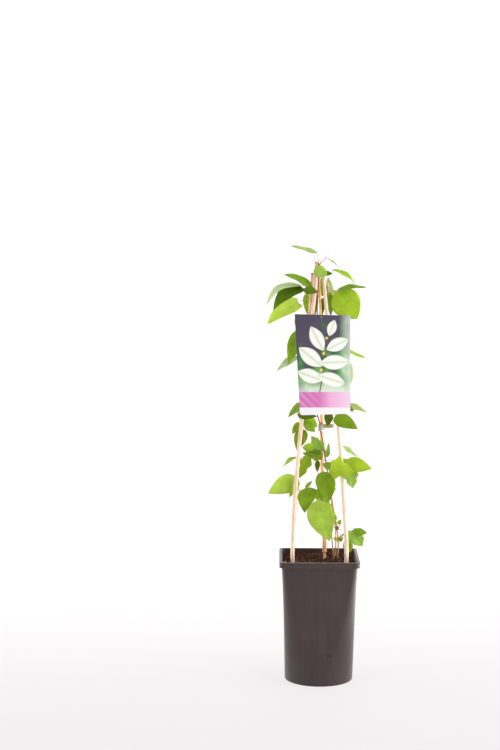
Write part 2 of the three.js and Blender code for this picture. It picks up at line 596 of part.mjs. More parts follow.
function makeStakeTie() {
  const middle = (STAKE_TIE.low + STAKE_TIE.high) / 2;
  const stake = placeAt(canePoints(STAKE), middle);
  const stem = placeAt(stemPoints(CENTRE_STEM), middle);
  const posts = [
    { x: stem.x, y: stem.y, radius: CENTRE_STEM.radius + STAKE_TIE.stemRoom },
    { x: stake.x, y: stake.y, radius: caneRadius(STAKE, middle) + KNUCKLE + LOOSE },
  ];
  const tail = new THREE.BoxGeometry(TAIL.length, TAIL.thick, TAIL.high, 4, 1, 1)
    .translate(TAIL.length / 2, 0, 0);
  moveVertices(tail, (point) => {
    point.y += -0.012 * point.x * point.x;
  });
  tail.rotateY(-TAIL.dip).rotateZ(-TAIL.turn).translate(...TAIL.at);
  const tape = makeTape(posts, STAKE_TIE.low, STAKE_TIE.high);
  const core = toSolid(turned([[0, 420], [posts[1].radius, 420], [posts[1].radius, 450], [0, 450]], 24)
    .translate(posts[1].x, posts[1].y, 0));
  return tape.add(toSolid(tail).subtract(core));
}

// Quarter-round corners joined by straight edges
function makeLabel() {
  const shape = new THREE.Shape();
  LABEL_CORNERS.forEach(([x, y, round], i) => {
    const corner = new THREE.Vector2(x, y);
    const toward = (other) => new THREE.Vector2(other[0] - x, other[1] - y).setLength(round).add(corner);
    const start = toward(LABEL_CORNERS[(i + 3) % 4]);
    const end = toward(LABEL_CORNERS[(i + 1) % 4]);
    if (i === 0) shape.moveTo(start.x, start.y);
    else shape.lineTo(start.x, start.y);
    shape.quadraticCurveTo(x, y, end.x, end.y);
  });
  shape.closePath();
  const hole = new THREE.Path().absarc(0, 0, LABEL_HOLE, 0, 2 * Math.PI, false);
  shape.holes.push(hole);
  const options = { depth: LABEL_THICK, bevelEnabled: false, curveSegments: 5 };
  return toSolid(new THREE.ExtrudeGeometry(shape, options));
}

// A thread looped round the right cane, drawn through the label's hole and knotted in front of it
function makeLabelTie() {
  const [x, y, z] = LABEL_AT;
  const cane = placeAt(canePoints(CANE_FRONT_RIGHT), z);
  const loop = caneRadius(CANE_FRONT_RIGHT, z) + GAP + LABEL_THREAD;
  const ring = new THREE.TorusGeometry(loop, LABEL_THREAD, 5, 14).translate(cane.x, cane.y, z);
  const front = y - LABEL_THICK - GAP - LABEL_KNOT;
  const knot = new THREE.IcosahedronGeometry(LABEL_KNOT, 1).translate(x, front, z);
  const thread = tube([[x, front, z], [x, y + 2, z], [x + 3, y + 4.5, z], [cane.x - loop, cane.y, z]],
    LABEL_THREAD, 8, STEM_SIDES);
  return wasm.Manifold.union([toSolid(ring), toSolid(knot), toSolid(thread)]);
}

// Assembly

const group = new THREE.Group();

function place(name, solid, color, roughness) {
  const material = new THREE.MeshStandardMaterial({ color, roughness, metalness: 0 });
  const mesh = new THREE.Mesh(toGeometry(solid), material);
  mesh.name = name;
  group.add(mesh);
  return mesh;
}

const canes = [CANE_FRONT_LEFT, CANE_BACK_LEFT, CANE_FRONT_RIGHT, STAKE];
const clearances = [
  ...canes.map(caneClearance),
  ...[LEFT_STEM, CENTRE_STEM, RIGHT_STEM].map(stemClearance),
];

place('pot', makePot(), '#4b4242', 0.6);
place('soil', makeSoil(clearances), '#3b2b20', 1);
place('cane_front_left', bentCane(CANE_FRONT_LEFT, caneWall(CANE_FRONT_LEFT)), '#f0d3b4', 0.55);
place('cane_back_left', bentCane(CANE_BACK_LEFT, caneWall(CANE_BACK_LEFT)), '#d9b794', 0.6);
place('cane_front_right', bentCane(CANE_FRONT_RIGHT, caneWall(CANE_FRONT_RIGHT)), '#f4dcc0', 0.55);
place('stake_centre', bentCane(STAKE, caneWall(STAKE)), '#c99a68', 0.6);
place('vine_left', makeVine(LEFT_STEM, LEFT_LEAVES), '#86a832', 0.5);
place('vine_centre', makeVine(CENTRE_STEM, CENTRE_LEAVES, CENTRE_STALKS, [makeKnot()]), '#94b541', 0.5);
place('vine_right', makeVine(RIGHT_STEM, RIGHT_LEAVES, RIGHT_STALKS), '#9cc13a', 0.5);
place('stake_tie', makeStakeTie(), '#80837a', 0.45);
place('top_tie', makeTopTie(), '#80837a', 0.45);
const label = place('label', makeLabel(), '#d8b2d2', 0.35);
label.position.set(...LABEL_AT);
label.rotation.x = Math.PI / 2 - LABEL_LEAN;
place('label_tie', makeLabelTie(), '#4d4038', 0.8);

export default group;
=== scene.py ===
# Finishes a potted clematis on its bamboo canes: pot, soil, canes, three leafy stems, label and ties.
# The part's own lengths are in millimetres, turned to metres where a mesh is made. The front is towards -Y.
import math

import bmesh
import bpy
import numpy as np
from mathutils import Euler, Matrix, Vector, noise
from mathutils.geometry import delaunay_2d_cdt


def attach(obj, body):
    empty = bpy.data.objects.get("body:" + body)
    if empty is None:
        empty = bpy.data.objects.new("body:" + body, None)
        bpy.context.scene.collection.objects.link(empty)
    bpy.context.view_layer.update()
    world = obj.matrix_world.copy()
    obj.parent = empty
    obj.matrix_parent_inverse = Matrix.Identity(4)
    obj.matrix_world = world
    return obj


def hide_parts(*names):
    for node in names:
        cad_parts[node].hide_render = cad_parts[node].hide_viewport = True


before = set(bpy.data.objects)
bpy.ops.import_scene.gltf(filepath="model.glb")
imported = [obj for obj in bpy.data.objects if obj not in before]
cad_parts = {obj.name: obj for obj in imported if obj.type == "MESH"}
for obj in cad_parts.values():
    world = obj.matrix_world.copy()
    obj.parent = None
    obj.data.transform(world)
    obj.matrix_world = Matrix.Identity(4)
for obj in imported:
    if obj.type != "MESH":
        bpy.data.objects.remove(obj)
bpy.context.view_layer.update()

MM = 0.001
ROOT = "root"

def linear(code):
    """Turns an sRGB hex colour into the linear colour that a material takes."""
    parts = [int(code[i:i + 2], 16) / 255 for i in (1, 3, 5)]
    return [p / 12.92 if p <= 0.04045 else ((p + 0.055) / 1.055) ** 2.4 for p in parts] + [1.0]


def clamp(value):
    return min(max(value, 0), 1)


def fill(tree, node, values):
    """Links a node's inputs to sockets, or sets them to plain values."""
    for socket, value in values.items():
        if isinstance(value, bpy.types.NodeSocket):
            tree.links.new(value, node.inputs[socket])
        else:
            node.inputs[socket].default_value = value


def add(tree, kind, inputs=None, stops=None, **settings):
    """Adds a node, sets what it is told and fills its inputs. The stops are a ramp's places and colours."""
    made = tree.nodes.new(kind)
    for name, value in settings.items():
        setattr(made, name, value)
    fill(tree, made, inputs or {})
    if stops:
        band = made.color_ramp.elements
        while len(band) > 1:
            band.remove(band[-1])
        band[0].position, band[0].color = stops[0][0], linear(stops[0][1])
        for place, code in stops[1:]:
            band.new(place).color = linear(code)
    return made


def new_material(name):
    """Makes an empty node material with its shader and its output."""
    material = bpy.data.materials.new(name)
    material.use_nodes = True
    tree = material.node_tree
    tree.nodes.clear()
    shader = add(tree, "ShaderNodeBsdfPrincipled")
    add(tree, "ShaderNodeOutputMaterial", {"Surface": shader.outputs[0]})
    return material, tree, shader


# Shape of the pot and the soil, in mm

POT_HEIGHT = 213.7
POT_BASE_HALF = 58.4
POT_TAPER = 3.2
POT_FLARE = 2.6
POT_WALL = 1.4
POT_FLOOR = 1.8
POT_BODY_TOP = 208
POT_TURN = math.radians(-1.15)
MOUTH_CORNER = 0.1
CORNER_GROWTH = 1.5
RIM_HALF = 68
RIM_SKIRT = 9.2
RIM_WALL = 1.5
DRAIN_RADIUS = 4
DRAIN_CIRCLE = 40
SOIL_LEVEL = 200
SOIL_MOUND = 2.5
GAP = 0.3
SEGMENTS = 160

# Canes: path points, radii at the bottom and top, heights of the joints

CANES = {
    "cane_front_left": dict(
        path=[(-45.8, -46, 92), (-46.3, -45.5, 189), (-46.2, -45, 240), (-43, -38, 316), (-38.9, -34, 366),
              (-34.2, -30.3, 417), (-30.8, -27.7, 450), (-12.6, -14, 632), (-8, -11, 674), (-6.2, -8.5, 716)],
        radii=(3.8, 2.9), joints=(165, 292, 425, 560, 690), brown_tip=5),
    "cane_back_left": dict(
        path=[(-43.7, 45, 92), (-43.6, 45, 215), (-37.1, 34, 337), (-30.1, 24, 445), (-16.4, 8.5, 632),
              (-14.7, 7, 655), (-12.4, 4, 698)],
        radii=(3.8, 3.0), joints=(150, 268, 392, 520, 645)),
    "cane_front_right": dict(
        path=[(44.8, -46, 92), (44.6, -45.5, 189), (44.1, -44.5, 240), (40.1, -38, 316), (36.7, -33.5, 366),
              (32.9, -29, 417), (30.4, -27, 442), (11.4, -11.5, 632), (7.5, -8, 676), (4.9, -6, 706)],
        radii=(4.0, 2.9), joints=(128, 257, 390, 527, 665)),
    "stake_centre": dict(
        path=[(10.8, 18, 70), (10.6, 18, 176), (10.6, 17.5, 228), (7.9, 15, 307), (5.9, 13, 363),
              (5.1, 11.5, 412), (4.4, 10.5, 450), (1.6, 7, 632), (-0.7, 6, 677), (-2, 5.5, 706)],
        radii=(4.4, 2.0), joints=(106, 217, 330, 442, 556, 668), waist=(217, 1.3)),
}
KNUCKLE = 0.5

# Climbing stems

STEMS = {
    "vine_left": dict(
        radius=1.2,
        path=[(28, 18, 165), (26.9, 17, 202), (23.2, 16, 241), (22.2, 13, 281), (16.5, 5, 304),
              (-0.2, 0, 314), (-19.4, -3, 319), (-33, -11, 326), (-38.5, -24, 341), (-37.5, -27, 356),
              (-35.7, -25, 373), (-33.1, -23, 399),
              (-30.6, -21, 424), (-28, -19, 449), (-22.4, -13, 500), (-15.6, -7, 567), (-9.6, -3, 622),
              (-7.2, -1, 652), (-6, 0, 673)]),
    "vine_centre": dict(
        radius=1.3,
        path=[(32, 24, 165), (33.2, 23, 201), (34.2, 22, 219), (34.6, 20, 233), (32.6, 17, 253),
              (27.5, 14, 281), (22.8, 9, 308), (18, 3, 335), (14, -1, 360), (10.4, -2.6, 382), (6.6, 0, 409),
              (2.4, 2.4, 427), (1, 3.2, 441), (-3.6, 5.6, 458), (-5.4, 7, 481), (-5.3, 6, 533),
              (-4.5, 4, 584), (-4.1, 1, 632), (-3.3, -1, 669), (-2.1, -1.6, 695), (-1.7, -2, 713)]),
    "vine_right": dict(
        radius=1.2,
        path=[(30, 38, 165), (30.4, 36, 205), (31.2, 31, 234), (30.2, 27, 256), (25.2, 20, 285),
              (21.2, 12, 316), (19.3, 5, 343), (17.8, 0, 363), (19.9, -8, 371), (28.4, -18, 380),
              (36, -21, 397), (34, -19, 417), (31.3, -16, 442), (26.8, -12, 483), (22, -7, 537),
              (18, -3, 584), (14.8, 1, 622), (13, 3, 652), (12.2, 4, 676)]),
}
KNOT_AT = (32, 16.4, 258)
KNOT_SIZE = 3.4

# Leaves

FORMS = {
    "ovate": dict(belly=0.66, blunt=0.85, lobe=0.02, cut=0),
    "narrow": dict(belly=0.75, blunt=1, lobe=0.02, cut=0),
    "round": dict(belly=0.78, blunt=0.72, lobe=0.05, cut=0),
    "heart": dict(belly=0.54, blunt=0.72, lobe=0.08, cut=0),
    "lobed": dict(belly=0.6, blunt=0.8, lobe=0.06, cut=0.2),
}
FRONT = (0, -1, 0.1)
BACK = (0, 0.8, 0.5)
BACK_LEFT = (-0.4, 0.7, 0.5)
BACK_RIGHT = (0.4, 0.7, 0.5)

# Greens of the leaves: backlit and pale, fresh, shaded, plain, dull and large
TONES = {
    "pale": "#bccb98",
    "thin": "#93a55c",
    "fresh": "#b0cb4e",
    "bright": "#98b42c",
    "deep": "#6f8f18",
    "dark": "#56720f",
    "mid": "#7c991e",
    "grey": "#8cac45",
    "light": "#a2bb42",
}


def leaf(start, base, tip, width, face, tone, **shape):
    """A leaf: the height on its stem that its stalk grows from, its base, tip, width, face and tone."""
    # split is the painted shade: how much lighter the blade's upper half is, and its lower half darker
    made = dict(start=start, base=base, tip=tip, width=width, face=face, tone=tone,
                arch=0, fold=8, bend=0, wave=0.8, form="ovate", via=None, split=0.15)
    made.update(shape)
    return made


LEAVES = {
    "vine_left": [
        leaf(669, (-13, -6, 673), (-61, -16, 696), 22, (0.2, -0.62, 0.8), "deep", arch=4, split=0.25),
        leaf(669, (-33, -3, 677), (-92, -6, 639), 24, (-0.55, -0.42, 0.66), "pale", arch=17),
        leaf(669, (-28, -8.5, 672), (-79, -19.5, 635), 29, (-0.35, -0.8, 0.5), "dark", arch=5, bend=9,
             split=0.45),
        leaf(655, (-37, -8, 648), (-89, -20, 612), 28, (-0.1, -1, 0.1), "fresh", arch=2, bend=5,
             form="heart"),
        leaf(665, (-28, -21.5, 670), (-4, -24.5, 664.5), 15, (0, -1, 0.4), "dark", arch=1, fold=-6, bend=-2,
             wave=0.4),
        leaf(601, (-36, -9, 600), (-53, -18, 545), 24, (-0.2, -1, 0.1), "mid", arch=2),
        leaf(558, (-37, -6, 556), (-73, -14, 532), 15, (-0.3, -0.8, 0.5), "pale", arch=2, bend=2),
        leaf(485, (-28, -14, 478), (-54, -26, 455), 15, (-0.3, -0.9, 0.3), "grey", arch=2),
        leaf(447, (-34, -20.5, 445), (-47, -23.5, 426), 13, (-0.3, -1, 0.2), "mid", arch=1),
        leaf(461, (-38, -33.2, 460), (-5, -33.4, 457), 14, FRONT, "dark", fold=2, wave=0.3,
             via=(-37.5, -24, 464)),
        leaf(450, (-27, -16.5, 450), (-4, -14.5, 438), 22, FRONT, "bright", arch=1, form="round"),
        leaf(444, (-25, -25, 445), (-8, -26, 430), 16, FRONT, "mid", arch=1),
        leaf(430, (-27, -18, 433), (-39, -20, 398), 23, FRONT, "mid", arch=1, bend=1),
        leaf(382, (-37, -23, 387), (-63, -30, 370), 12, (-0.5, -0.45, 0.75), "grey", arch=4, form="narrow"),
        leaf(385, (-19, -20, 388), (-35, -21, 350), 19, FRONT, "mid", arch=1, form="lobed"),
        leaf(354, (-35, -20.5, 346), (-88, -28.5, 325), 33, (-0.1, -1, 0.15), "fresh", arch=2, bend=3),
        leaf(344, (-38, -27, 343), (-52, -31, 319), 13, FRONT, "bright", arch=1),
        leaf(317, (-11, -12, 332), (-25, -16, 290), 30, (0, -1, 0.2), "mid", arch=2, bend=6.5),
        leaf(321, (-24, -13, 333), (-12, -13, 345), 7, (0, -1, 0.3), "grey", form="narrow"),
        leaf(600, (-27, 20, 596), (-42, 38, 562), 26, BACK_LEFT, "mid", arch=3, via=(-22, 2, 602)),
        leaf(462, (-26, 2, 458), (-22, 20, 430), 20, BACK, "bright", arch=2),
        leaf(628, (-28, 14, 624), (-34, 34, 600), 24, BACK_LEFT, "mid", arch=3, via=(-21, 0, 631)),
    ],
    "vine_centre": [
        leaf(712, (-5, -2, 732), (-50, -12, 744), 19, (0.1, -0.42, 0.9), "thin"),
        leaf(712, (11, -2, 724), (33, -8, 707), 12, (0.65, -0.12, 0.8), "thin", arch=1, form="narrow"),
        leaf(711, (-9, -18.5, 706), (11, -19.5, 694), 22, (0, -1, 0.3), "grey", arch=1, fold=-8,
             form="round", via=(0.5, -10, 711.5)),
        leaf(658, (-19, 14.5, 665), (-18, 13.5, 623), 19, (-0.2, -1, 0), "bright", arch=1, wave=0.4,
             via=(-7.4, 10, 664)),
        leaf(464, (17, -8, 462), (13, -12, 438), 16, FRONT, "dark", arch=1, via=(2, -5, 468)),
        leaf(395, (4, -4, 395), (-14, -8, 421), 21, (0.2, -1, 0.1), "grey", arch=1, form="lobed"),
        leaf(392, (-9, -11, 400), (-30, -15, 402), 18, (0, -1, 0.2), "bright", arch=1),
        leaf(389, (4, -14, 392), (-20, -19.5, 394), 10, (0, -0.7, 0.7), "dark", arch=1),
        leaf(385, (5, -7, 386), (-29, -12, 392), 17, (0, -1, -0.1), "mid", arch=1, form="lobed"),
        leaf(378, (-3, -5, 379), (-3, -6, 359), 9, FRONT, "dark"),
        leaf(356, (5, -10, 359), (15, -20, 308), 34, (0, -1, 0.2), "mid", arch=2, bend=-2),
        leaf(312, (-7, -17.5, 310), (17, -29.5, 244), 46, FRONT, "light", arch=3, via=(10, -8, 316)),
        leaf(309, (5, -10, 307), (23, -12, 298), 14, FRONT, "light", arch=1),
        leaf(330, (-4, -6.5, 329), (5, -8.5, 304), 17, FRONT, "bright", arch=1, wave=0.4),
        leaf(271, (29, 9, 273), (26, 7, 287), 7, FRONT, "bright"),
        leaf(262, (33, 12, 266), (39, 10, 274), 7, FRONT, "bright"),
        leaf(238, (55, -16, 259), (73, -24, 234), 30, (0.1, -1, 0.15), "grey", arch=1, form="lobed"),
        leaf(238, (59, -20, 259), (81, -25, 257), 14, (0.1, -1, 0.3), "mid", arch=1, form="narrow"),
        leaf(238, (45, -27, 244), (52, -30, 225), 18, FRONT, "mid", arch=1, form="round"),
        leaf(236, (33, 16, 236), (26, 14, 243), 7, FRONT, "bright", wave=0.2),
        leaf(234, (36, 16, 236), (42, 12, 241), 7, FRONT, "bright", wave=0.2),
        leaf(600, (-3, 22, 600), (4, 46, 570), 28, BACK, "mid", arch=4, via=(-7, 12, 604)),
        leaf(540, (-10, 24, 540), (-22, 46, 512), 26, BACK_LEFT, "bright", arch=3),
        leaf(505, (-2, 24, 504), (14, 44, 476), 26, BACK_RIGHT, "mid", arch=3, via=(-5, 16, 507)),
        leaf(402, (-8, 6, 402), (-22, 24, 394), 20, (0, 0.5, 0.8), "mid", arch=2),
        leaf(300, (16, 26, 292), (2, 44, 268), 26, BACK, "mid", arch=3, via=(16, 16, 300)),
        leaf(330, (22, 22, 330), (14, 40, 308), 24, BACK, "bright", arch=3, via=(27, 10, 333)),
        leaf(711, (3, -16.3, 696), (21.5, -16.8, 696.5), 9, FRONT, "dark", bend=-1.2, wave=0.3,
             form="narrow", via=(1.5, -12, 708)),
        leaf(650, (-8, 14, 665), (-7, 13, 626), 11, FRONT, "deep", wave=0.4),
    ],
    "vine_right": [
        leaf(674, (21, 2, 703), (60, -8, 679), 14, (0.5, -0.6, 0.65), "bright", arch=6, fold=14,
             form="narrow"),
        leaf(662, (30, -3, 669), (78, -13, 674), 20, (0, -0.42, 0.9), "mid", arch=2.5, split=0.4),
        leaf(660, (30, -2, 666), (63, -12, 621), 51, FRONT, "bright", arch=2, fold=5, form="round"),
        leaf(654, (5, 16, 659), (5, 15, 694), 15, FRONT, "bright", arch=1, fold=6),
        leaf(658, (19, 11, 660), (14, 10, 691), 14, (0.2, -1, 0), "pale", arch=1, fold=6),
        leaf(664, (17, 4, 664), (19, 2, 625), 16, (0.5, -0.9, 0), "dark", arch=1, form="narrow"),
        leaf(575, (40, -12, 569), (78, -20, 554), 14, (0.3, -0.4, 0.9), "bright", form="narrow"),
        leaf(550, (44, -12, 549), (51, -16, 506), 21, (0.3, -1, 0.05), "pale", arch=2),
        leaf(481, (45, -16, 476), (79, -24, 463), 15, (0.2, -0.6, 0.8), "thin", arch=1.2),
        leaf(474, (43, -25, 473), (57, -27, 465), 10, (0.2, -0.9, 0.3), "dark", arch=1),
        leaf(464, (23, -33, 454), (63, -38, 436), 24, FRONT, "deep", arch=1, fold=4, bend=-3, wave=0.5,
             via=(20.5, -22, 462)),
        leaf(372, (13, -8, 385), (16, -10, 409), 9, (0.3, -1, 0), "grey"),
        leaf(367, (20, -12.5, 368), (5, -11.5, 374), 14, FRONT, "grey", wave=0.4),
        leaf(373, (17, -36, 373), (57, -45, 363), 33, FRONT, "bright", arch=2, fold=5, form="lobed"),
        leaf(378, (44, -33, 379), (87, -38, 369), 26, (0.15, -1, 0.15), "bright", arch=2, fold=5),
        leaf(372, (50, -36, 366), (55, -40, 336), 24, (0.1, -1, 0.1), "grey", arch=1, form="lobed"),
        leaf(402, (40, -20, 405), (64, -18, 387), 14, (0.55, -0.5, 0.8), "thin", fold=5, form="narrow"),
        leaf(600, (30, 14, 600), (46, 34, 572), 28, BACK_RIGHT, "mid", arch=3),
        leaf(537, (34, 8, 536), (46, 30, 508), 26, BACK_RIGHT, "bright", arch=3),
        leaf(497, (28, 8, 494), (24, 32, 472), 24, BACK, "mid", arch=3),
        leaf(382, (42, -6, 382), (48, 12, 364), 22, BACK_RIGHT, "mid", arch=2),
        leaf(672, (24, 14, 668), (40, 30, 642), 26, BACK_RIGHT, "bright", arch=3),
        leaf(648, (6, 13, 655), (4.5, 12, 624), 9, FRONT, "dark", wave=0.4),
    ],
}
BARE_STALKS = {
    "vine_left": [],
    "vine_centre": [
        [(-2, -2, 711), (-8, -3, 719), (-10, -4, 731)],
        [(-1.8, -2, 711.5), (8, -2, 720), (12.5, -2, 729), (16.3, -3, 738)],
        [(1, -13.2, 350), (-7, -11, 366), (-10, -12, 387)],
    ],
    "vine_right": [[(21, -9, 372), (21.5, -11, 383), (19.5, -12, 393)]],
}

# Label, measured in its own plane from the hole

LABEL_CORNERS = [(-44.8, 4.5, 1.5), (49.4, 2, 1.5), (48.7, -163.5, 5), (-36, -166, 5)]
LABEL_THICK = 0.7
LABEL_HOLE = 1.7
LABEL_AT = (1.7, -18.2, 624.3)
LABEL_LEAN = math.radians(6.4)
LABEL_BOW = 0.9

# Ties

TOP_TIE = (697.0, 703.5)
STAKE_TIE = (428.4, 439.6)
LOOSE = 0.45
# Radii that the tape round the stake leaves: to the stem's middle, and past the cane
STEM_ROOM = 2.6
STAKE_ROOM = 0.95
# The thread's way out from its cane, and its knot's way out from the label
THREAD_REACH = 0.8
KNOT_FRONT = 2.4


# Helpers for meshes

def placed(name, data):
    """Puts a mesh, a curve, a lamp or a camera into the scene."""
    made = bpy.data.objects.new(name, data)
    bpy.context.scene.collection.objects.link(made)
    return made


def mesh_piece(name, points, faces, material, smooth=True):
    """Makes a piece from points in mm and faces, and gives it its material."""
    mesh = bpy.data.meshes.new(name)
    corners = [tuple(float(c) * MM for c in p) for p in points]
    mesh.from_pydata(corners, [], [tuple(map(int, f)) for f in faces])
    mesh.polygons.foreach_set("use_smooth", [smooth] * len(mesh.polygons))
    mesh.materials.append(material)
    mesh.update()
    return placed(name, mesh)


def shaped_piece(name, shape, material=None, smooth=False):
    """Makes a piece from a bmesh in metres."""
    mesh = bpy.data.meshes.new(name)
    shape.to_mesh(mesh)
    shape.free()
    if smooth:
        mesh.polygons.foreach_set("use_smooth", [True] * len(mesh.polygons))
    if material:
        mesh.materials.append(material)
    return placed(name, mesh)


def grid(rows, count, start=0, closed=True):
    """Faces between rows of points. A closed row joins its last point to its first."""
    faces = []
    for row in range(rows - 1):
        a, b = start + row * count, start + (row + 1) * count
        for i in range(count if closed else count - 1):
            j = (i + 1) % count
            faces.append((a + i, a + j, b + j, b + i))
    return faces


def mark_points(piece, layer, places, marks):
    """Gives a piece its flat places, and the marks that its material reads: name, kind, field and values."""
    mesh = piece.data
    mesh.uv_layers.new(name=layer)
    loops = np.zeros(len(mesh.loops), dtype=np.int32)
    mesh.loops.foreach_get("vertex_index", loops)
    mesh.uv_layers[layer].data.foreach_set("uv", np.array(places)[loops].ravel())
    for name, kind, field, values in marks:
        mesh.attributes.new(name, kind, "POINT").data.foreach_set(field, values)


def hold(piece, node):
    """The piece stands for a node: it joins the root's body, and the node's own mesh is hidden."""
    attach(piece, ROOT)
    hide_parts(node)


def smooth_path(path, count):
    """Evenly spaced points on a smooth curve through the path's points."""
    knots = np.array(path, float)
    ends = np.vstack([2 * knots[0] - knots[1], knots, 2 * knots[-1] - knots[-2]])
    fine = []
    for i in range(1, len(ends) - 2):
        p = ends[i - 1:i + 3]
        t = np.concatenate([[0], np.cumsum(np.linalg.norm(np.diff(p, axis=0), axis=1) ** 0.5)])
        for x in np.linspace(t[1], t[2], 24, endpoint=i == len(ends) - 3):
            a = [(p[k] * (t[k + 1] - x) + p[k + 1] * (x - t[k])) / (t[k + 1] - t[k]) for k in range(3)]
            b = [(a[k] * (t[k + 2] - x) + a[k + 1] * (x - t[k])) / (t[k + 2] - t[k]) for k in range(2)]
            fine.append((b[0] * (t[2] - x) + b[1] * (x - t[1])) / (t[2] - t[1]))
    fine = np.array(fine)
    run = np.concatenate([[0], np.cumsum(np.linalg.norm(np.diff(fine, axis=0), axis=1))])
    places = np.linspace(0, run[-1], count)
    return np.column_stack([np.interp(places, run, fine[:, k]) for k in range(3)])


def place_at(points, height):
    """The place at one height on a rising line of points."""
    after = int(np.argmax(points[:, 2] >= height))
    if points[after, 2] < height:
        return points[-1]
    if after == 0:
        return points[0]
    low, high = points[after - 1], points[after]
    return low + (high - low) * (height - low[2]) / (high[2] - low[2])


# Trees that make meshes

def new_tree(name, sockets):
    """A tree that turns geometry into geometry, with more inputs by name and kind."""
    tree = bpy.data.node_groups.new(name, "GeometryNodeTree")
    for label, kind in {"Geometry": "Geometry", **sockets}.items():
        tree.interface.new_socket(label, in_out="INPUT", socket_type="NodeSocket" + kind)
    tree.interface.new_socket("Geometry", in_out="OUTPUT", socket_type="NodeSocketGeometry")
    return tree, add(tree, "NodeGroupInput").outputs


def close_tree(tree, geometry, material):
    """Ends a tree with plain geometry in its material."""
    real = add(tree, "GeometryNodeRealizeInstances", {"Geometry": geometry})
    paint = add(tree, "GeometryNodeSetMaterial", {"Geometry": real.outputs[0], "Material": material})
    add(tree, "NodeGroupOutput", {"Geometry": paint.outputs[0]})


def tube_tree():
    """Sweeps a round section along curves."""
    tree, given = new_tree("sweep_round_section", {"Section Sides": "Int", "Material": "Material"})
    circle = add(tree, "GeometryNodeCurvePrimitiveCircle",
                 {"Resolution": given["Section Sides"], "Radius": 1.0}, mode="RADIUS")
    sweep = add(tree, "GeometryNodeCurveToMesh",
                {"Curve": given["Geometry"], "Profile Curve": circle.outputs[0], "Fill Caps": True})
    if "Scale" in sweep.inputs:
        fill(tree, sweep, {"Scale": add(tree, "GeometryNodeInputRadius").outputs[0]})
    shade = add(tree, "GeometryNodeSetShadeSmooth", {"Geometry": sweep.outputs[0]})
    close_tree(tree, shade.outputs[0], given["Material"])
    return tree


def made_plain(source, tree, values, name):
    """Runs a tree on an object and keeps the result as a plain mesh piece."""
    modifier = source.modifiers.new("build", "NODES")
    modifier.node_group = tree
    for item in tree.interface.items_tree:
        if item.item_type == "SOCKET" and item.in_out == "INPUT" and item.name in values:
            modifier[item.identifier] = values[item.name]
    graph = bpy.context.evaluated_depsgraph_get()
    mesh = bpy.data.meshes.new_from_object(source.evaluated_get(graph))
    source.modifiers.remove(modifier)
    mesh.name = name
    piece = placed(name, mesh)
    bpy.data.objects.remove(source)
    return piece


TUBES = tube_tree()


def tubes(name, runs, sides, material):
    """Round tubes along runs of points in mm, each point with its own radius."""
    curve = bpy.data.curves.new(name + "_lines", "CURVE")
    curve.dimensions = "3D"
    for points, radii in runs:
        spline = curve.splines.new("POLY")
        spline.points.add(len(points) - 1)
        for point, place, radius in zip(spline.points, points, radii):
            point.co = (*(float(c) * MM for c in place), 1)
            point.radius = float(radius) * MM
    lines = placed(name + "_lines", curve)
    return made_plain(lines, TUBES, {"Section Sides": sides, "Material": material}, name)


def tapered(path, count, thick, thin):
    """A run along a path that thins evenly."""
    return list(smooth_path(path, count)), list(np.linspace(thick, thin, count))


def hoop(middle, reach, count, lift, waves):
    """A ring of points round an upright line, rising and falling a little."""
    return [(middle[0] + reach * math.cos(a), middle[1] + reach * math.sin(a),
             middle[2] + lift * math.sin(waves * a))
            for a in np.linspace(0, 2 * math.pi, count)]


# Materials

# Middle of the painted shade in the dent low on the pot's front, in mm, and how it is squashed
PAINTED_DENT_SHADE = (13, -59, 53)
PAINTED_DENT_SHADE_SQUASH = (1, 0.2, 1.7)


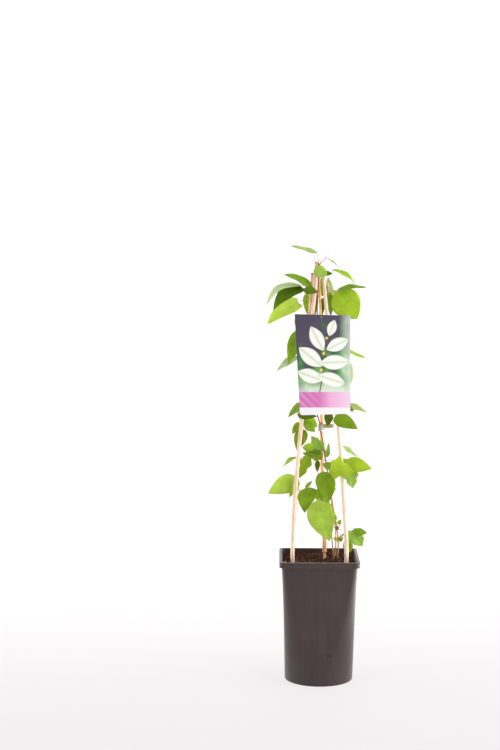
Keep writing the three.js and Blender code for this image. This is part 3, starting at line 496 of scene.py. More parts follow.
def pot_plastic():
    """Moulded polypropylene: dark warm grey, softly shiny, with faint upright flow lines, dust and painted
    shade in a dent.
    """
    material, tree, shader = new_material("moulded_polypropylene_pot")
    place = add(tree, "ShaderNodeTexCoord").outputs["Object"]
    upright = add(tree, "ShaderNodeMapping", {"Vector": place, "Scale": (260, 260, 5)})
    streaks = add(tree, "ShaderNodeTexNoise", {"Vector": upright.outputs[0], "Scale": 1, "Detail": 3})
    clouds = add(tree, "ShaderNodeTexNoise", {"Vector": place, "Scale": 22, "Detail": 4, "Roughness": 0.6})
    both = add(tree, "ShaderNodeMath", {0: streaks.outputs[0], 1: clouds.outputs[0]}, operation="ADD")
    blend = add(tree, "ShaderNodeMath", {0: both.outputs[0], 1: 0.5}, operation="MULTIPLY")
    colour = add(tree, "ShaderNodeValToRGB", {"Fac": blend.outputs[0]},
                 stops=[(0.35, "#372a29"), (0.5, "#3b2e2d"), (0.65, "#413433")])
    # Painted shade: a dark ragged patch at the dent, where shade falls in it
    middle = add(tree, "ShaderNodeVectorMath", {0: place, 1: [v * MM for v in PAINTED_DENT_SHADE]}, operation="SUBTRACT")
    flat = add(tree, "ShaderNodeVectorMath", {0: middle.outputs[0], 1: PAINTED_DENT_SHADE_SQUASH}, operation="MULTIPLY")
    ragged = add(tree, "ShaderNodeTexNoise", {"Vector": place, "Scale": 320, "Detail": 2})
    away = add(tree, "ShaderNodeVectorMath", {0: flat.outputs[0]}, operation="LENGTH").outputs["Value"]
    frayed = add(tree, "ShaderNodeMath", {0: ragged.outputs[0], 1: 0.006, 2: away}, operation="MULTIPLY_ADD")
    dent_shade_share = add(tree, "ShaderNodeMapRange",
                 {"Value": frayed.outputs[0], "From Min": 0.003, "From Max": 0.008,
                  "To Min": 0.6, "To Max": 0.0}, interpolation_type="SMOOTHSTEP")
    with_dent_shade = add(tree, "ShaderNodeMix", {0: dent_shade_share.outputs[0], 6: colour.outputs[0], 7: linear("#1f1717")},
                  data_type="RGBA")
    rough = add(tree, "ShaderNodeMapRange", {"Value": clouds.outputs[0], "To Min": 0.4, "To Max": 0.5})
    grain = add(tree, "ShaderNodeTexNoise", {"Vector": place, "Scale": 1400, "Detail": 2})
    relief = add(tree, "ShaderNodeMath", {0: grain.outputs[0], 1: streaks.outputs[0]}, operation="ADD")
    bump = add(tree, "ShaderNodeBump", {"Height": relief.outputs[0], "Strength": 0.12, "Distance": 0.0002})
    fill(tree, shader, {
        "Base Color": with_dent_shade.outputs[2], "Roughness": rough.outputs[0], "Normal": bump.outputs[0],
        "IOR": 1.49, "Specular IOR Level": 0.42, "Sheen Weight": 0.3, "Sheen Roughness": 0.35})
    return material


def crumbly(name, dark, mid, light):
    """Compost, bark, clay or a sawn end: crumbs about 4 mm apart in three tones, and no shine."""
    material, tree, shader = new_material(name)
    place = add(tree, "ShaderNodeTexCoord").outputs["Object"]
    crumbs = add(tree, "ShaderNodeTexNoise", {"Vector": place, "Scale": 260, "Detail": 6, "Roughness": 0.7})
    colour = add(tree, "ShaderNodeValToRGB", {"Fac": crumbs.outputs[0]},
                 stops=[(0.3, dark), (0.55, mid), (0.75, light)])
    bump = add(tree, "ShaderNodeBump", {"Height": crumbs.outputs[0], "Strength": 0.8, "Distance": 0.001})
    fill(tree, shader, {
        "Base Color": colour.outputs[0], "Normal": bump.outputs[0], "Roughness": 0.95,
        "Specular IOR Level": 0.2})
    return material


def bamboo(name, hollow, main, ridge, blotch, blotch_share, spots=(170, 60)):
    """Dried bamboo cane: lengthwise fibres 0.3 mm apart, drawn at 1 mm, a thin waxy skin, and stains."""
    material, tree, shader = new_material(name)
    place = add(tree, "ShaderNodeTexCoord").outputs["Object"]
    upright = add(tree, "ShaderNodeMapping", {"Vector": place, "Scale": (900, 900, 22)})
    fibres = add(tree, "ShaderNodeTexNoise", {"Vector": upright.outputs[0], "Scale": 1, "Detail": 4})
    base = add(tree, "ShaderNodeValToRGB", {"Fac": fibres.outputs[0]},
               stops=[(0.3, hollow), (0.5, main), (0.72, ridge)])
    long_spots = add(tree, "ShaderNodeMapping", {"Vector": place, "Scale": (spots[0], spots[0], spots[1])})
    stains = add(tree, "ShaderNodeTexNoise", {"Vector": long_spots.outputs[0], "Scale": 1, "Detail": 5,
                                              "Roughness": 0.65})
    share = add(tree, "ShaderNodeMapRange", {"Value": stains.outputs[0], "From Min": 0.52, "From Max": 0.66,
                                             "To Max": blotch_share})
    colour = add(tree, "ShaderNodeMix", {0: share.outputs[0], 6: base.outputs[0], 7: linear(blotch)},
                 data_type="RGBA")
    bump = add(tree, "ShaderNodeBump", {"Height": fibres.outputs[0], "Strength": 0.35, "Distance": 0.0003})
    fill(tree, shader, {
        "Base Color": colour.outputs[2], "Normal": bump.outputs[0], "Roughness": 0.48})
    return material


# Bowed main veins of a leaf: how far from the midrib, and how wide, in shares of the leaf's width
VEINS = ((0.0, 0.018), (0.19, 0.012), (0.34, 0.01))


def leaf_skin():
    """Clematis leaf: satin above, matt below, with bowed main veins and a fine net, and paler where thin."""
    material, tree, shader = new_material("clematis_leaf")
    tone = add(tree, "ShaderNodeAttribute", attribute_name="tone").outputs["Color"]
    under = add(tree, "ShaderNodeAttribute", attribute_name="underside").outputs["Fac"]
    where = add(tree, "ShaderNodeUVMap", uv_map="leaf")
    split = add(tree, "ShaderNodeSeparateXYZ", {0: where.outputs[0]})
    across = add(tree, "ShaderNodeMath", {0: split.outputs["Y"], 1: 0.5}, operation="SUBTRACT")
    away = add(tree, "ShaderNodeMath", {0: across.outputs[0]}, operation="ABSOLUTE")
    place = add(tree, "ShaderNodeTexCoord").outputs["Object"]
    masks = []
    for centre, width in VEINS:
        off = add(tree, "ShaderNodeMath", {0: away.outputs[0], 1: centre}, operation="SUBTRACT")
        gap = add(tree, "ShaderNodeMath", {0: off.outputs[0]}, operation="ABSOLUTE")
        line = add(tree, "ShaderNodeMapRange", {"Value": gap.outputs[0], "From Min": width * 0.3,
                                                "From Max": width * 1.6, "To Min": 1.0, "To Max": 0.0},
                   interpolation_type="SMOOTHSTEP")
        masks.append(line.outputs[0])
    slanted = add(tree, "ShaderNodeMath", {0: split.outputs["X"], 1: 11.0}, operation="MULTIPLY")
    lean = add(tree, "ShaderNodeMath", {0: away.outputs[0], 1: -9.0, 2: slanted.outputs[0]},
               operation="MULTIPLY_ADD")
    wave = add(tree, "ShaderNodeMath", {0: lean.outputs[0]}, operation="FRACT")
    middle = add(tree, "ShaderNodeMath", {0: wave.outputs[0], 1: 0.5}, operation="SUBTRACT")
    near = add(tree, "ShaderNodeMath", {0: middle.outputs[0]}, operation="ABSOLUTE")
    ribs = add(tree, "ShaderNodeMapRange", {"Value": near.outputs[0], "From Min": 0.02, "From Max": 0.1,
                                            "To Min": 0.55, "To Max": 0.0}, interpolation_type="SMOOTHSTEP")
    masks.append(ribs.outputs[0])
    net = add(tree, "ShaderNodeTexVoronoi", {"Vector": place, "Scale": 330}, feature="DISTANCE_TO_EDGE")
    mesh_lines = add(tree, "ShaderNodeMapRange", {"Value": net.outputs["Distance"], "From Min": 0.02,
                                                  "From Max": 0.12, "To Min": 0.35, "To Max": 0.0})
    masks.append(mesh_lines.outputs[0])
    vein = masks[0]
    for mask in masks[1:]:
        vein = add(tree, "ShaderNodeMath", {0: vein, 1: mask}, operation="MAXIMUM").outputs[0]
    clouds = add(tree, "ShaderNodeTexNoise", {"Vector": place, "Scale": 70, "Detail": 3})
    depth = add(tree, "ShaderNodeMapRange", {"Value": clouds.outputs[0], "From Min": 0.3, "From Max": 0.7,
                                             "To Min": 0.84, "To Max": 1.12})
    varied = add(tree, "ShaderNodeVectorMath", {0: tone, "Scale": depth.outputs[0]}, operation="SCALE")
    pale_vein = add(tree, "ShaderNodeMix", {0: 0.5, 6: tone, 7: linear("#cbe070")}, data_type="RGBA")
    veined = add(tree, "ShaderNodeMath", {0: vein, 1: 0.2}, operation="MULTIPLY")
    upper = add(tree, "ShaderNodeMix", {0: veined.outputs[0], 6: varied.outputs[0], 7: pale_vein.outputs[2]},
                data_type="RGBA")
    dull = add(tree, "ShaderNodeMix", {0: 0.45, 6: tone, 7: linear("#a3ba6c")}, data_type="RGBA")
    colour = add(tree, "ShaderNodeMix", {0: under, 6: upper.outputs[2], 7: dull.outputs[2]}, data_type="RGBA")
    rough = add(tree, "ShaderNodeMapRange", {"Value": under, "To Min": 0.46, "To Max": 0.7})
    sunk = add(tree, "ShaderNodeMath", {0: vein, 1: -1.0}, operation="MULTIPLY")
    bump = add(tree, "ShaderNodeBump", {"Height": sunk.outputs[0], "Strength": 0.4, "Distance": 0.0003})
    fill(tree, shader, {
        "Base Color": colour.outputs[2], "Roughness": rough.outputs[0], "Normal": bump.outputs[0],
        "Subsurface Weight": 0.25, "Subsurface Radius": (0.5, 1.0, 0.15),
        "Subsurface Scale": 0.001, "Specular IOR Level": 0.08})
    return material


def stem_skin(name, below, above, between, shift):
    """A clematis stem: thin ribbed bark or skin in two colours, others higher up, with lengthwise grooves."""
    material, tree, shader = new_material(name)
    place = add(tree, "ShaderNodeTexCoord").outputs["Object"]
    patches = add(tree, "ShaderNodeTexNoise", {"Vector": place, "Scale": shift, "Detail": 3})
    low = add(tree, "ShaderNodeValToRGB", {"Fac": patches.outputs[0]},
              stops=[(0.38, below[0]), (0.62, below[1])])
    high = add(tree, "ShaderNodeValToRGB", {"Fac": patches.outputs[0]},
               stops=[(0.38, above[0]), (0.62, above[1])])
    height = add(tree, "ShaderNodeSeparateXYZ", {0: place}).outputs["Z"]
    risen = add(tree, "ShaderNodeMapRange", {"Value": height, "From Min": between[0], "From Max": between[1]})
    colour = add(tree, "ShaderNodeMix", {0: risen.outputs[0], 6: low.outputs[0], 7: high.outputs[0]},
                 data_type="RGBA")
    grooves = add(tree, "ShaderNodeMapping", {"Vector": place, "Scale": (1800, 1800, 120)})
    ribs = add(tree, "ShaderNodeTexNoise", {"Vector": grooves.outputs[0], "Scale": 1, "Detail": 2})
    bump = add(tree, "ShaderNodeBump", {"Height": ribs.outputs[0], "Strength": 0.5, "Distance": 0.0003})
    fill(tree, shader, {
        "Base Color": colour.outputs[2], "Normal": bump.outputs[0], "Roughness": 0.6})
    return material


def tie_tape():
    """Polyethylene tying tape: grey-green and half clear, stretched into fine lengthwise lines and folds."""
    material, tree, shader = new_material("stretched_polyethylene_tape")
    place = add(tree, "ShaderNodeTexCoord").outputs["Object"]
    flat = add(tree, "ShaderNodeMapping", {"Vector": place, "Scale": (60, 60, 900)})
    lines = add(tree, "ShaderNodeTexNoise", {"Vector": flat.outputs[0], "Scale": 1, "Detail": 4})
    colour = add(tree, "ShaderNodeValToRGB", {"Fac": lines.outputs[0]},
                 stops=[(0.3, "#4e5049"), (0.5, "#8a8d80"), (0.7, "#c3c7b8")])
    bump = add(tree, "ShaderNodeBump", {"Height": lines.outputs[0], "Strength": 0.5, "Distance": 0.0005})
    fill(tree, shader, {
        "Base Color": colour.outputs[0], "Normal": bump.outputs[0], "Roughness": 0.35})
    return material


def tail_tape():
    """The loose end of the tape: thinner, so the light through it is warm and tan."""
    material, tree, shader = new_material("loose_tape_end")
    place = add(tree, "ShaderNodeTexCoord").outputs["Object"]
    flat = add(tree, "ShaderNodeMapping", {"Vector": place, "Scale": (90, 90, 1200)})
    lines = add(tree, "ShaderNodeTexNoise", {"Vector": flat.outputs[0], "Scale": 1, "Detail": 3})
    colour = add(tree, "ShaderNodeValToRGB", {"Fac": lines.outputs[0]},
                 stops=[(0.3, "#9a8b5c"), (0.7, "#c9bd8a")])
    fill(tree, shader, {
        "Base Color": colour.outputs[0], "Roughness": 0.4})
    return material


def twine():
    """Twisted jute thread: brown, hairy and matt, with turns about 1 mm apart."""
    material, tree, shader = new_material("twisted_jute_thread")
    place = add(tree, "ShaderNodeTexCoord").outputs["Object"]
    turns = add(tree, "ShaderNodeTexWave", {"Vector": place, "Scale": 320, "Distortion": 2.0},
                bands_direction="DIAGONAL")
    colour = add(tree, "ShaderNodeValToRGB", {"Fac": turns.outputs[0]},
                 stops=[(0.2, "#33271f"), (0.8, "#6b5646")])
    bump = add(tree, "ShaderNodeBump", {"Height": turns.outputs[0], "Strength": 0.6, "Distance": 0.0003})
    fill(tree, shader, {
        "Base Color": colour.outputs[0], "Normal": bump.outputs[0], "Roughness": 0.9})
    return material


# The label's print, in units of 100 mm from the hole
# Leaves of the spray: middle, turn, half length and half width
SPRAY = [
    (-0.19, -1.00, 2.80, 0.23, 0.125), (0.17, -1.06, -0.30, 0.25, 0.12), (-0.18, -0.68, 2.45, 0.26, 0.135),
    (0.22, -0.77, 0.05, 0.25, 0.13), (-0.07, -0.37, 2.05, 0.24, 0.12), (0.27, -0.47, 0.45, 0.21, 0.115),
    (0.18, -0.19, 1.25, 0.15, 0.085),
]
# Berries: middle and size
BERRIES = [(0.0, -0.90, 0.03), (0.04, -0.62, 0.028), (0.09, -0.36, 0.024)]
# The twig's foot, its slope and its top
TWIG_FOOT = (-0.015, -1.2)
TWIG_SLOPE = 0.16
TWIG_TOP = -0.22
# The band's lower and upper edges
BAND = (-1.53, -1.27)
# How much light the inks leave
INK = 0.87


def label_print():
    """A printed plastic tag, glossy: a dusky garden behind a plain white spray, over a magenta band."""
    material, tree, shader = new_material("printed_gloss_label")
    where = add(tree, "ShaderNodeUVMap", uv_map="print").outputs[0]
    split = add(tree, "ShaderNodeSeparateXYZ", {0: where})
    across, up = split.outputs["X"], split.outputs["Y"]
    blur = add(tree, "ShaderNodeTexNoise", {"Vector": where, "Scale": 3.4, "Detail": 2, "Roughness": 0.45})
    lifted = add(tree, "ShaderNodeMath", {0: up, 1: -0.38, 2: blur.outputs[0]}, operation="MULTIPLY_ADD")
    aside = add(tree, "ShaderNodeMath", {0: across, 1: 0.16, 2: lifted.outputs[0]}, operation="MULTIPLY_ADD")
    garden = add(tree, "ShaderNodeValToRGB", {"Fac": aside.outputs[0]},
                 stops=[(0.0, "#464052"), (0.62, "#534c5f"), (0.71, "#4d5c50"), (0.8, "#4d8250"),
                        (0.9, "#79ad68"), (1.0, "#bcd8a8")])
    low = add(tree, "ShaderNodeMapRange", {"Value": up, "From Min": -1.3, "From Max": -1.05, "To Min": 0.75,
                                           "To Max": 0.0})
    # Painted glare: the picture pales towards its right edge, where light glances off the gloss; the pale
    # foot above is print
    edge = add(tree, "ShaderNodeMapRange", {"Value": across, "From Min": 0.3, "From Max": 0.5, "To Min": 0.0,
                                            "To Max": 0.65})
    print_pale_and_glare = add(tree, "ShaderNodeMath", {0: low.outputs[0], 1: edge.outputs[0]}, operation="MAXIMUM")
    print_pale_and_glared = add(tree, "ShaderNodeMix", {0: print_pale_and_glare.outputs[0], 6: garden.outputs[0], 7: linear("#eef3ec")},
                data_type="RGBA")
    course = add(tree, "ShaderNodeMath", {0: up, 1: TWIG_SLOPE, 2: TWIG_FOOT[0] - TWIG_FOOT[1] * TWIG_SLOPE},
                 operation="MULTIPLY_ADD")
    beside = add(tree, "ShaderNodeMath", {0: across, 1: course.outputs[0]}, operation="SUBTRACT")
    near = add(tree, "ShaderNodeMath", {0: beside.outputs[0]}, operation="ABSOLUTE")
    twig = add(tree, "ShaderNodeMapRange", {"Value": near.outputs[0], "From Min": 0.006, "From Max": 0.012,
                                            "To Min": 1.0, "To Max": 0.0})
    below_top = add(tree, "ShaderNodeMath", {0: up, 1: TWIG_TOP}, operation="LESS_THAN")
    twigged = add(tree, "ShaderNodeMath", {0: twig.outputs[0], 1: below_top.outputs[0]}, operation="MULTIPLY")
    picture = add(tree, "ShaderNodeMix", {0: twigged.outputs[0], 6: print_pale_and_glared.outputs[2], 7: linear("#6f5a44")},
                  data_type="RGBA").outputs[2]
    for x, y, turn, reach, half in SPRAY:
        spot = add(tree, "ShaderNodeVectorMath", {0: where, 1: (x, y, 0)}, operation="SUBTRACT").outputs[0]
        laid = add(tree, "ShaderNodeVectorRotate", {"Vector": spot, "Angle": -turn}, rotation_type="Z_AXIS")
        parts = add(tree, "ShaderNodeSeparateXYZ", {0: laid.outputs[0]})
        along = add(tree, "ShaderNodeMath", {0: parts.outputs["X"], 1: 1 / reach}, operation="MULTIPLY")
        square = add(tree, "ShaderNodeMath", {0: along.outputs[0], 1: along.outputs[0]}, operation="MULTIPLY")
        width = add(tree, "ShaderNodeMath", {0: square.outputs[0], 1: -half, 2: half},
                    operation="MULTIPLY_ADD")
        side = add(tree, "ShaderNodeMath", {0: parts.outputs["Y"]}, operation="ABSOLUTE")
        inside = add(tree, "ShaderNodeMath", {0: width.outputs[0], 1: side.outputs[0]}, operation="SUBTRACT")
        mask = add(tree, "ShaderNodeMapRange",
                   {"Value": inside.outputs[0], "From Min": 0.0, "From Max": 0.01})
        white = add(tree, "ShaderNodeValToRGB", {"Fac": side.outputs[0]},
                    stops=[(0.0, "#cfdcb4"), (half * 0.14, "#f1f4e8"), (half * 0.6, "#fbfbf8"),
                           (half, "#dfe7d8")])
        picture = add(tree, "ShaderNodeMix", {0: mask.outputs[0], 6: picture, 7: white.outputs[0]},
                      data_type="RGBA").outputs[2]
    for x, y, size in BERRIES:
        off = add(tree, "ShaderNodeVectorMath", {0: where, 1: (x, y, 0)},
                  operation="DISTANCE").outputs["Value"]
        berry = add(tree, "ShaderNodeMapRange", {"Value": off, "From Min": size * 0.85, "From Max": size,
                                                 "To Min": 1.0, "To Max": 0.0})
        picture = add(tree, "ShaderNodeMix", {0: berry.outputs[0], 6: picture, 7: linear("#e9cf6a")},
                      data_type="RGBA").outputs[2]
    fade = add(tree, "ShaderNodeMapRange", {"Value": across, "From Min": -0.35, "From Max": 0.45})
    pinks = add(tree, "ShaderNodeValToRGB", {"Fac": fade.outputs[0]},
                stops=[(0.0, "#cf66b0"), (0.4, "#d873b8"), (0.62, "#eeb2d8"), (1.0, "#f3cde7")])
    slope = add(tree, "ShaderNodeMath", {0: across, 1: up}, operation="ADD")
    stripes = add(tree, "ShaderNodeMath", {0: slope.outputs[0], 1: 14.0}, operation="MULTIPLY")
    comb = add(tree, "ShaderNodeMath", {0: stripes.outputs[0], 1: 1.0}, operation="PINGPONG")
    weaker = add(tree, "ShaderNodeMapRange", {"Value": across, "From Min": -0.3, "From Max": 0.1,
                                              "To Min": 0.35, "To Max": 0.0})
    light = add(tree, "ShaderNodeMath", {0: comb.outputs[0], 1: weaker.outputs[0]}, operation="MULTIPLY")
    band = add(tree, "ShaderNodeMix", {0: light.outputs[0], 6: pinks.outputs[0], 7: linear("#f9d9ee")},
               data_type="RGBA")
    above = add(tree, "ShaderNodeMath", {0: up, 1: BAND[1]}, operation="LESS_THAN")
    picture = add(tree, "ShaderNodeMix", {0: above.outputs[0], 6: picture, 7: band.outputs[2]},
                  data_type="RGBA").outputs[2]
    below = add(tree, "ShaderNodeMath", {0: up, 1: BAND[0]}, operation="LESS_THAN")
    picture = add(tree, "ShaderNodeMix", {0: below.outputs[0], 6: picture, 7: linear("#f3f1f5")},
                  data_type="RGBA").outputs[2]
    back = add(tree, "ShaderNodeAttribute", attribute_name="back_side").outputs["Fac"]
    picture = add(tree, "ShaderNodeMix", {0: back, 6: picture, 7: linear("#eceaf0")},
                  data_type="RGBA").outputs[2]
    inked = add(tree, "ShaderNodeVectorMath", {0: picture, "Scale": INK}, operation="SCALE")
    ripple = add(tree, "ShaderNodeTexNoise", {"Vector": where, "Scale": 6, "Detail": 1})
    bump = add(tree, "ShaderNodeBump", {"Height": ripple.outputs[0], "Strength": 0.15, "Distance": 0.001})
    fill(tree, shader, {
        "Base Color": inked.outputs[0], "Normal": bump.outputs[0], "Roughness": 0.28})
    return material


POT_FINISH = pot_plastic()
SOIL_FINISH = crumbly("moist_peat_compost", "#1a100b", "#3b2519", "#6a4a36")
CHIP_FINISH = crumbly("composted_bark_chips", "#2c1a12", "#6a452f", "#ad8464")
PEBBLE_FINISH = crumbly("clay_pebble", "#a67c45", "#cfa062", "#e2bd85")
FIBRE_FINISH = crumbly("bark_fibre", "#5a4130", "#94704f", "#c7a27c")
PALE_CANE = bamboo("bamboo_peeled_pale", "#cda68c", "#e2c1a7", "#eed9c5", "#bb9171", 0.35)
PALE_CANE_RIGHT = bamboo("bamboo_peeled_cream", "#d1ad90", "#e4c7ad", "#efddca", "#bf9272", 0.3)
MOTTLED_CANE = bamboo("bamboo_weathered", "#c39a7c", "#e0bd9e", "#f0d8bd", "#6d5236", 0.9, (520, 260))
TAN_STAKE = bamboo("bamboo_tan_stake", "#d2905a", "#f2b67c", "#fbd3a0", "#a06438", 0.6, (260, 90))
CUT_END = crumbly("bamboo_cut_end", "#8a4a2c", "#b5673f", "#d18a5e")
LEAF = leaf_skin()
STEM = stem_skin("clematis_young_bark", ("#b98458", "#d3a676"), ("#6e3b2c", "#8f5a44"), (0.26, 0.42), 60)
WOOD = stem_skin("clematis_old_bark", ("#4a2d22", "#7a5240"), ("#553428", "#7a5240"), (0.2, 0.3), 220)
STALK = stem_skin("clematis_leaf_stalk", ("#a9926a", "#8fa650"), ("#b3736a", "#b58f80"), (0.66, 0.715), 45)
TAPE = tie_tape()
TAIL_TAPE = tail_tape()
THREAD = twine()
PRINT = label_print()


# Pot

# The knock low on the front wall: middle as x and z, half sizes, depth, and where it is let in
DENT = (12, 54)
DENT_SIZE = (4.5, 3.2)
DENT_DEPTH = 1.7
DENT_REACH = 20
FRONT_WALL = -50


def pot_half(height):
    up = height / POT_BODY_TOP
    return POT_BASE_HALF + POT_TAPER * up + POT_FLARE * up ** 4


def square_reach(angle, corner):
    """How far a rounded square with a half side of 1 reaches at an angle."""
    quarter = math.pi / 2
    turn = abs(angle - quarter * round(angle / quarter))
    core = 1 - corner
    if math.tan(turn) <= core:
        return 1 / math.cos(turn)
    middle = core * (math.cos(turn) + math.sin(turn))
    return middle + math.sqrt(max(middle ** 2 - 2 * core ** 2 + corner ** 2, 0))


def ring_points(radius, height):
    """One ring of the pot's section: square at the mouth and round at the base."""
    below = max(1 - height / POT_BODY_TOP, 0)
    corner = MOUTH_CORNER + (1 - MOUTH_CORNER) * below ** CORNER_GROWTH
    points = []
    for i in range(SEGMENTS):
        angle = 2 * math.pi * i / SEGMENTS
        stretch = radius * square_reach(angle, corner)
        points.append((stretch * math.cos(angle + POT_TURN), stretch * math.sin(angle + POT_TURN), height))
    return points


def arc(centre, radius, start, end, steps):
    """Profile points on an arc, angles in degrees."""
    return [(centre[0] + radius * math.cos(math.radians(a)), centre[1] + radius * math.sin(math.radians(a)))
            for a in np.linspace(start, end, steps)]


def dented(points):
    """Presses the knock into points of the wall, or of the soil behind it."""
    moved = []
    for x, y, z in points:
        if y < FRONT_WALL and abs(z - DENT[1]) < DENT_REACH:
            away = ((x - DENT[0]) / DENT_SIZE[0]) ** 2 + ((z - DENT[1]) / DENT_SIZE[1]) ** 2
            y += DENT_DEPTH * math.exp(-away)
        moved.append((x, y, z))
    return moved


def drill_drains(piece):
    """Cuts the four drain holes through the pot's floor."""
    cut = bmesh.new()
    for k in range(4):
        angle = math.pi / 2 * k
        place = Vector((DRAIN_CIRCLE * math.cos(angle), DRAIN_CIRCLE * math.sin(angle), 1)) * MM
        made = bmesh.ops.create_cone(cut, cap_ends=True, segments=24, radius1=DRAIN_RADIUS * MM,
                                     radius2=DRAIN_RADIUS * MM, depth=8 * MM)
        bmesh.ops.translate(cut, verts=made["verts"], vec=place)
    cutter = shaped_piece("drain_cutters", cut)
    drill = piece.modifiers.new("drain_holes", "BOOLEAN")
    drill.object = cutter
    drill.operation = "DIFFERENCE"
    graph = bpy.context.evaluated_depsgraph_get()
    drilled = bpy.data.meshes.new_from_object(piece.evaluated_get(graph))
    piece.modifiers.clear()
    piece.data = drilled
    bpy.data.objects.remove(cutter)


def make_pot():
    skirt = POT_HEIGHT - RIM_SKIRT
    mouth = pot_half(POT_BODY_TOP) - POT_WALL
    profile = (
        [(20, 0.9), (52, 0.9), (54, 0)]
        + arc((POT_BASE_HALF - 1.5, 1.5), 1.5, -90, -5, 5)
        + [(pot_half(z), z) for z in np.arange(6, POT_BODY_TOP, 2)]
        + [(pot_half(POT_BODY_TOP), POT_BODY_TOP - 0.5)]
        + arc((RIM_HALF - RIM_WALL - 1, POT_BODY_TOP), 0.9, 150, 0, 4)[1:]
        + [(RIM_HALF - RIM_WALL, skirt + 0.3)]
        + arc((RIM_HALF - 0.7, skirt + 0.5), 0.5, 200, 340, 4)
        + [(RIM_HALF, POT_HEIGHT - 4)]
        + arc((RIM_HALF - 1.2, POT_HEIGHT - 1.2), 1.2, 0, 90, 6)
        + arc((mouth + 1, POT_HEIGHT - 1), 1, 90, 180, 5)
        + [(pot_half(z) - POT_WALL, z) for z in np.arange(204, 6, -9)]
        + [(POT_BASE_HALF - POT_WALL, POT_FLOOR), (20, POT_FLOOR)]
    )
    points = [point for radius, height in profile for point in ring_points(radius, height)]
    faces = grid(len(profile), SEGMENTS)
    faces.append(tuple(reversed(range(SEGMENTS))))
    faces.append(tuple(range(len(points) - SEGMENTS, len(points))))
    piece = mesh_piece("pot_shell", dented(points), faces, POT_FINISH)
    drill_drains(piece)
    hold(piece, "pot")


# Soil

# The soil rises towards the back from a line across the pot, and a little more to the right
BANK_START = -5
BANK_SLOPE = 0.08
BANK_SKEW = 0.0006
SOIL_RINGS = 46
BED_RINGS = 14
PEBBLE_AT = (-58.6, -7, 203.6)

# Loose bits: name, size, number to the square metre, smallest and largest scale, tilt, finish and reach
LOOSE_BITS = (
    ("soil_crumbs", (2.4, 2.0, 1.6), 150000.0, 0.4, 1.5, 1.2, CHIP_FINISH, 0.985),
    ("soil_bark_chips", (7.5, 3.6, 1.3), 24000.0, 0.5, 1.4, 0.8, CHIP_FINISH, 0.94),
    ("soil_fibres", (8.0, 0.7, 0.6), 9000.0, 0.5, 1.3, 0.5, FIBRE_FINISH, 0.93),
    ("soil_dark_lumps", (6.0, 5.0, 3.8), 22000.0, 0.6, 1.4, 1.5, SOIL_FINISH, 0.95),
)
FIRST_SEED = 3


def soil_height(x, y):
    out = min(math.hypot(x, y) / POT_BASE_HALF, 1)
    clods = 1.5 * math.sin(0.19 * x + 1.3) * math.cos(0.23 * y - 0.4)
    crumbs = 0.9 * math.sin(0.47 * x - 0.31 * y) + 0.7 * math.sin(0.61 * y + 0.35 * x + 2)
    bank = max(y - BANK_START, 0) * (BANK_SLOPE + BANK_SKEW * x)
    return (clods + crumbs) * (1 - 0.6 * out) + SOIL_MOUND * (1 - out * out) + bank


def rough_soil(x, y):
    """The soil's height with its finer lumps."""
    fine = 1.6 * noise.noise(Vector((x * 0.22, y * 0.22, 3.1)))
    fine += 0.8 * noise.noise(Vector((x * 0.6, y * 0.6, 7.7)))
    return SOIL_LEVEL + soil_height(x, y) + fine


def scatter_tree():
    """Scatters turned and scaled copies of a lump over a bed."""
    tree, given = new_tree("scatter_bark_chips", {
        "Chip": "Object", "Chips per Square Metre": "Float", "Smallest": "Float", "Largest": "Float",
        "Tilt": "Float", "Seed": "Int", "Material": "Material"})
    spots = add(tree, "GeometryNodeDistributePointsOnFaces", {
        "Mesh": given["Geometry"], "Density": given["Chips per Square Metre"], "Seed": given["Seed"]})
    chip = add(tree, "GeometryNodeObjectInfo", {"Object": given["Chip"]})
    down = add(tree, "ShaderNodeMath", {0: given["Tilt"], 1: -1.0}, operation="MULTIPLY").outputs[0]
    low = add(tree, "ShaderNodeCombineXYZ", {"X": down, "Y": down, "Z": 0.0})
    high = add(tree, "ShaderNodeCombineXYZ", {"X": given["Tilt"], "Y": given["Tilt"], "Z": 2 * math.pi})
    turn = add(tree, "FunctionNodeRandomValue",
               {0: low.outputs[0], 1: high.outputs[0], "Seed": given["Seed"]}, data_type="FLOAT_VECTOR")
    size = add(tree, "FunctionNodeRandomValue",
               {2: given["Smallest"], 3: given["Largest"], "Seed": given["Seed"]}, data_type="FLOAT")
    laid = add(tree, "GeometryNodeInstanceOnPoints",
               {"Points": spots.outputs["Points"], "Instance": chip.outputs["Geometry"],
                "Rotation": turn.outputs[0], "Scale": size.outputs[1]})
    close_tree(tree, laid.outputs[0], given["Material"])
    return tree


def lump(name, size, seed, material):
    """A small closed lump with a few faces: a crumb, a flat chip or a fibre by its size along x, y and z."""
    shape = bmesh.new()
    bmesh.ops.create_icosphere(shape, subdivisions=1, radius=0.5)
    for i, vertex in enumerate(shape.verts):
        swell = 1 + 0.3 * noise.noise(Vector((i * 1.7, seed, 0.3)))
        vertex.co = Vector([c * s * swell for c, s in zip(vertex.co, size)]) * MM
    return shaped_piece(name, shape, material)


def make_soil_body(edge, inset):
    points = []
    heights = [POT_FLOOR + GAP, 12, 30, 55, 80, 105, 130, 150, 170, 185, 197]
    for z in heights:
        points.extend(dented(ring_points(pot_half(z) - inset, z)))
    for k in range(SOIL_RINGS):
        share = 1 - k / SOIL_RINGS
        for x, y, _ in ring_points(share * edge, SOIL_LEVEL):
            points.append((x, y, rough_soil(x, y) if k else SOIL_LEVEL + soil_height(x, y)))
    faces = grid(len(heights) + SOIL_RINGS, SEGMENTS)
    faces.append(tuple(reversed(range(SEGMENTS))))
    middle = len(points)
    last = middle - SEGMENTS
    points.append((0, 0, rough_soil(0, 0)))
    faces += [(last + i, last + (i + 1) % SEGMENTS, middle) for i in range(SEGMENTS)]
    hold(mesh_piece("soil_body", points, faces, SOIL_FINISH), "soil")


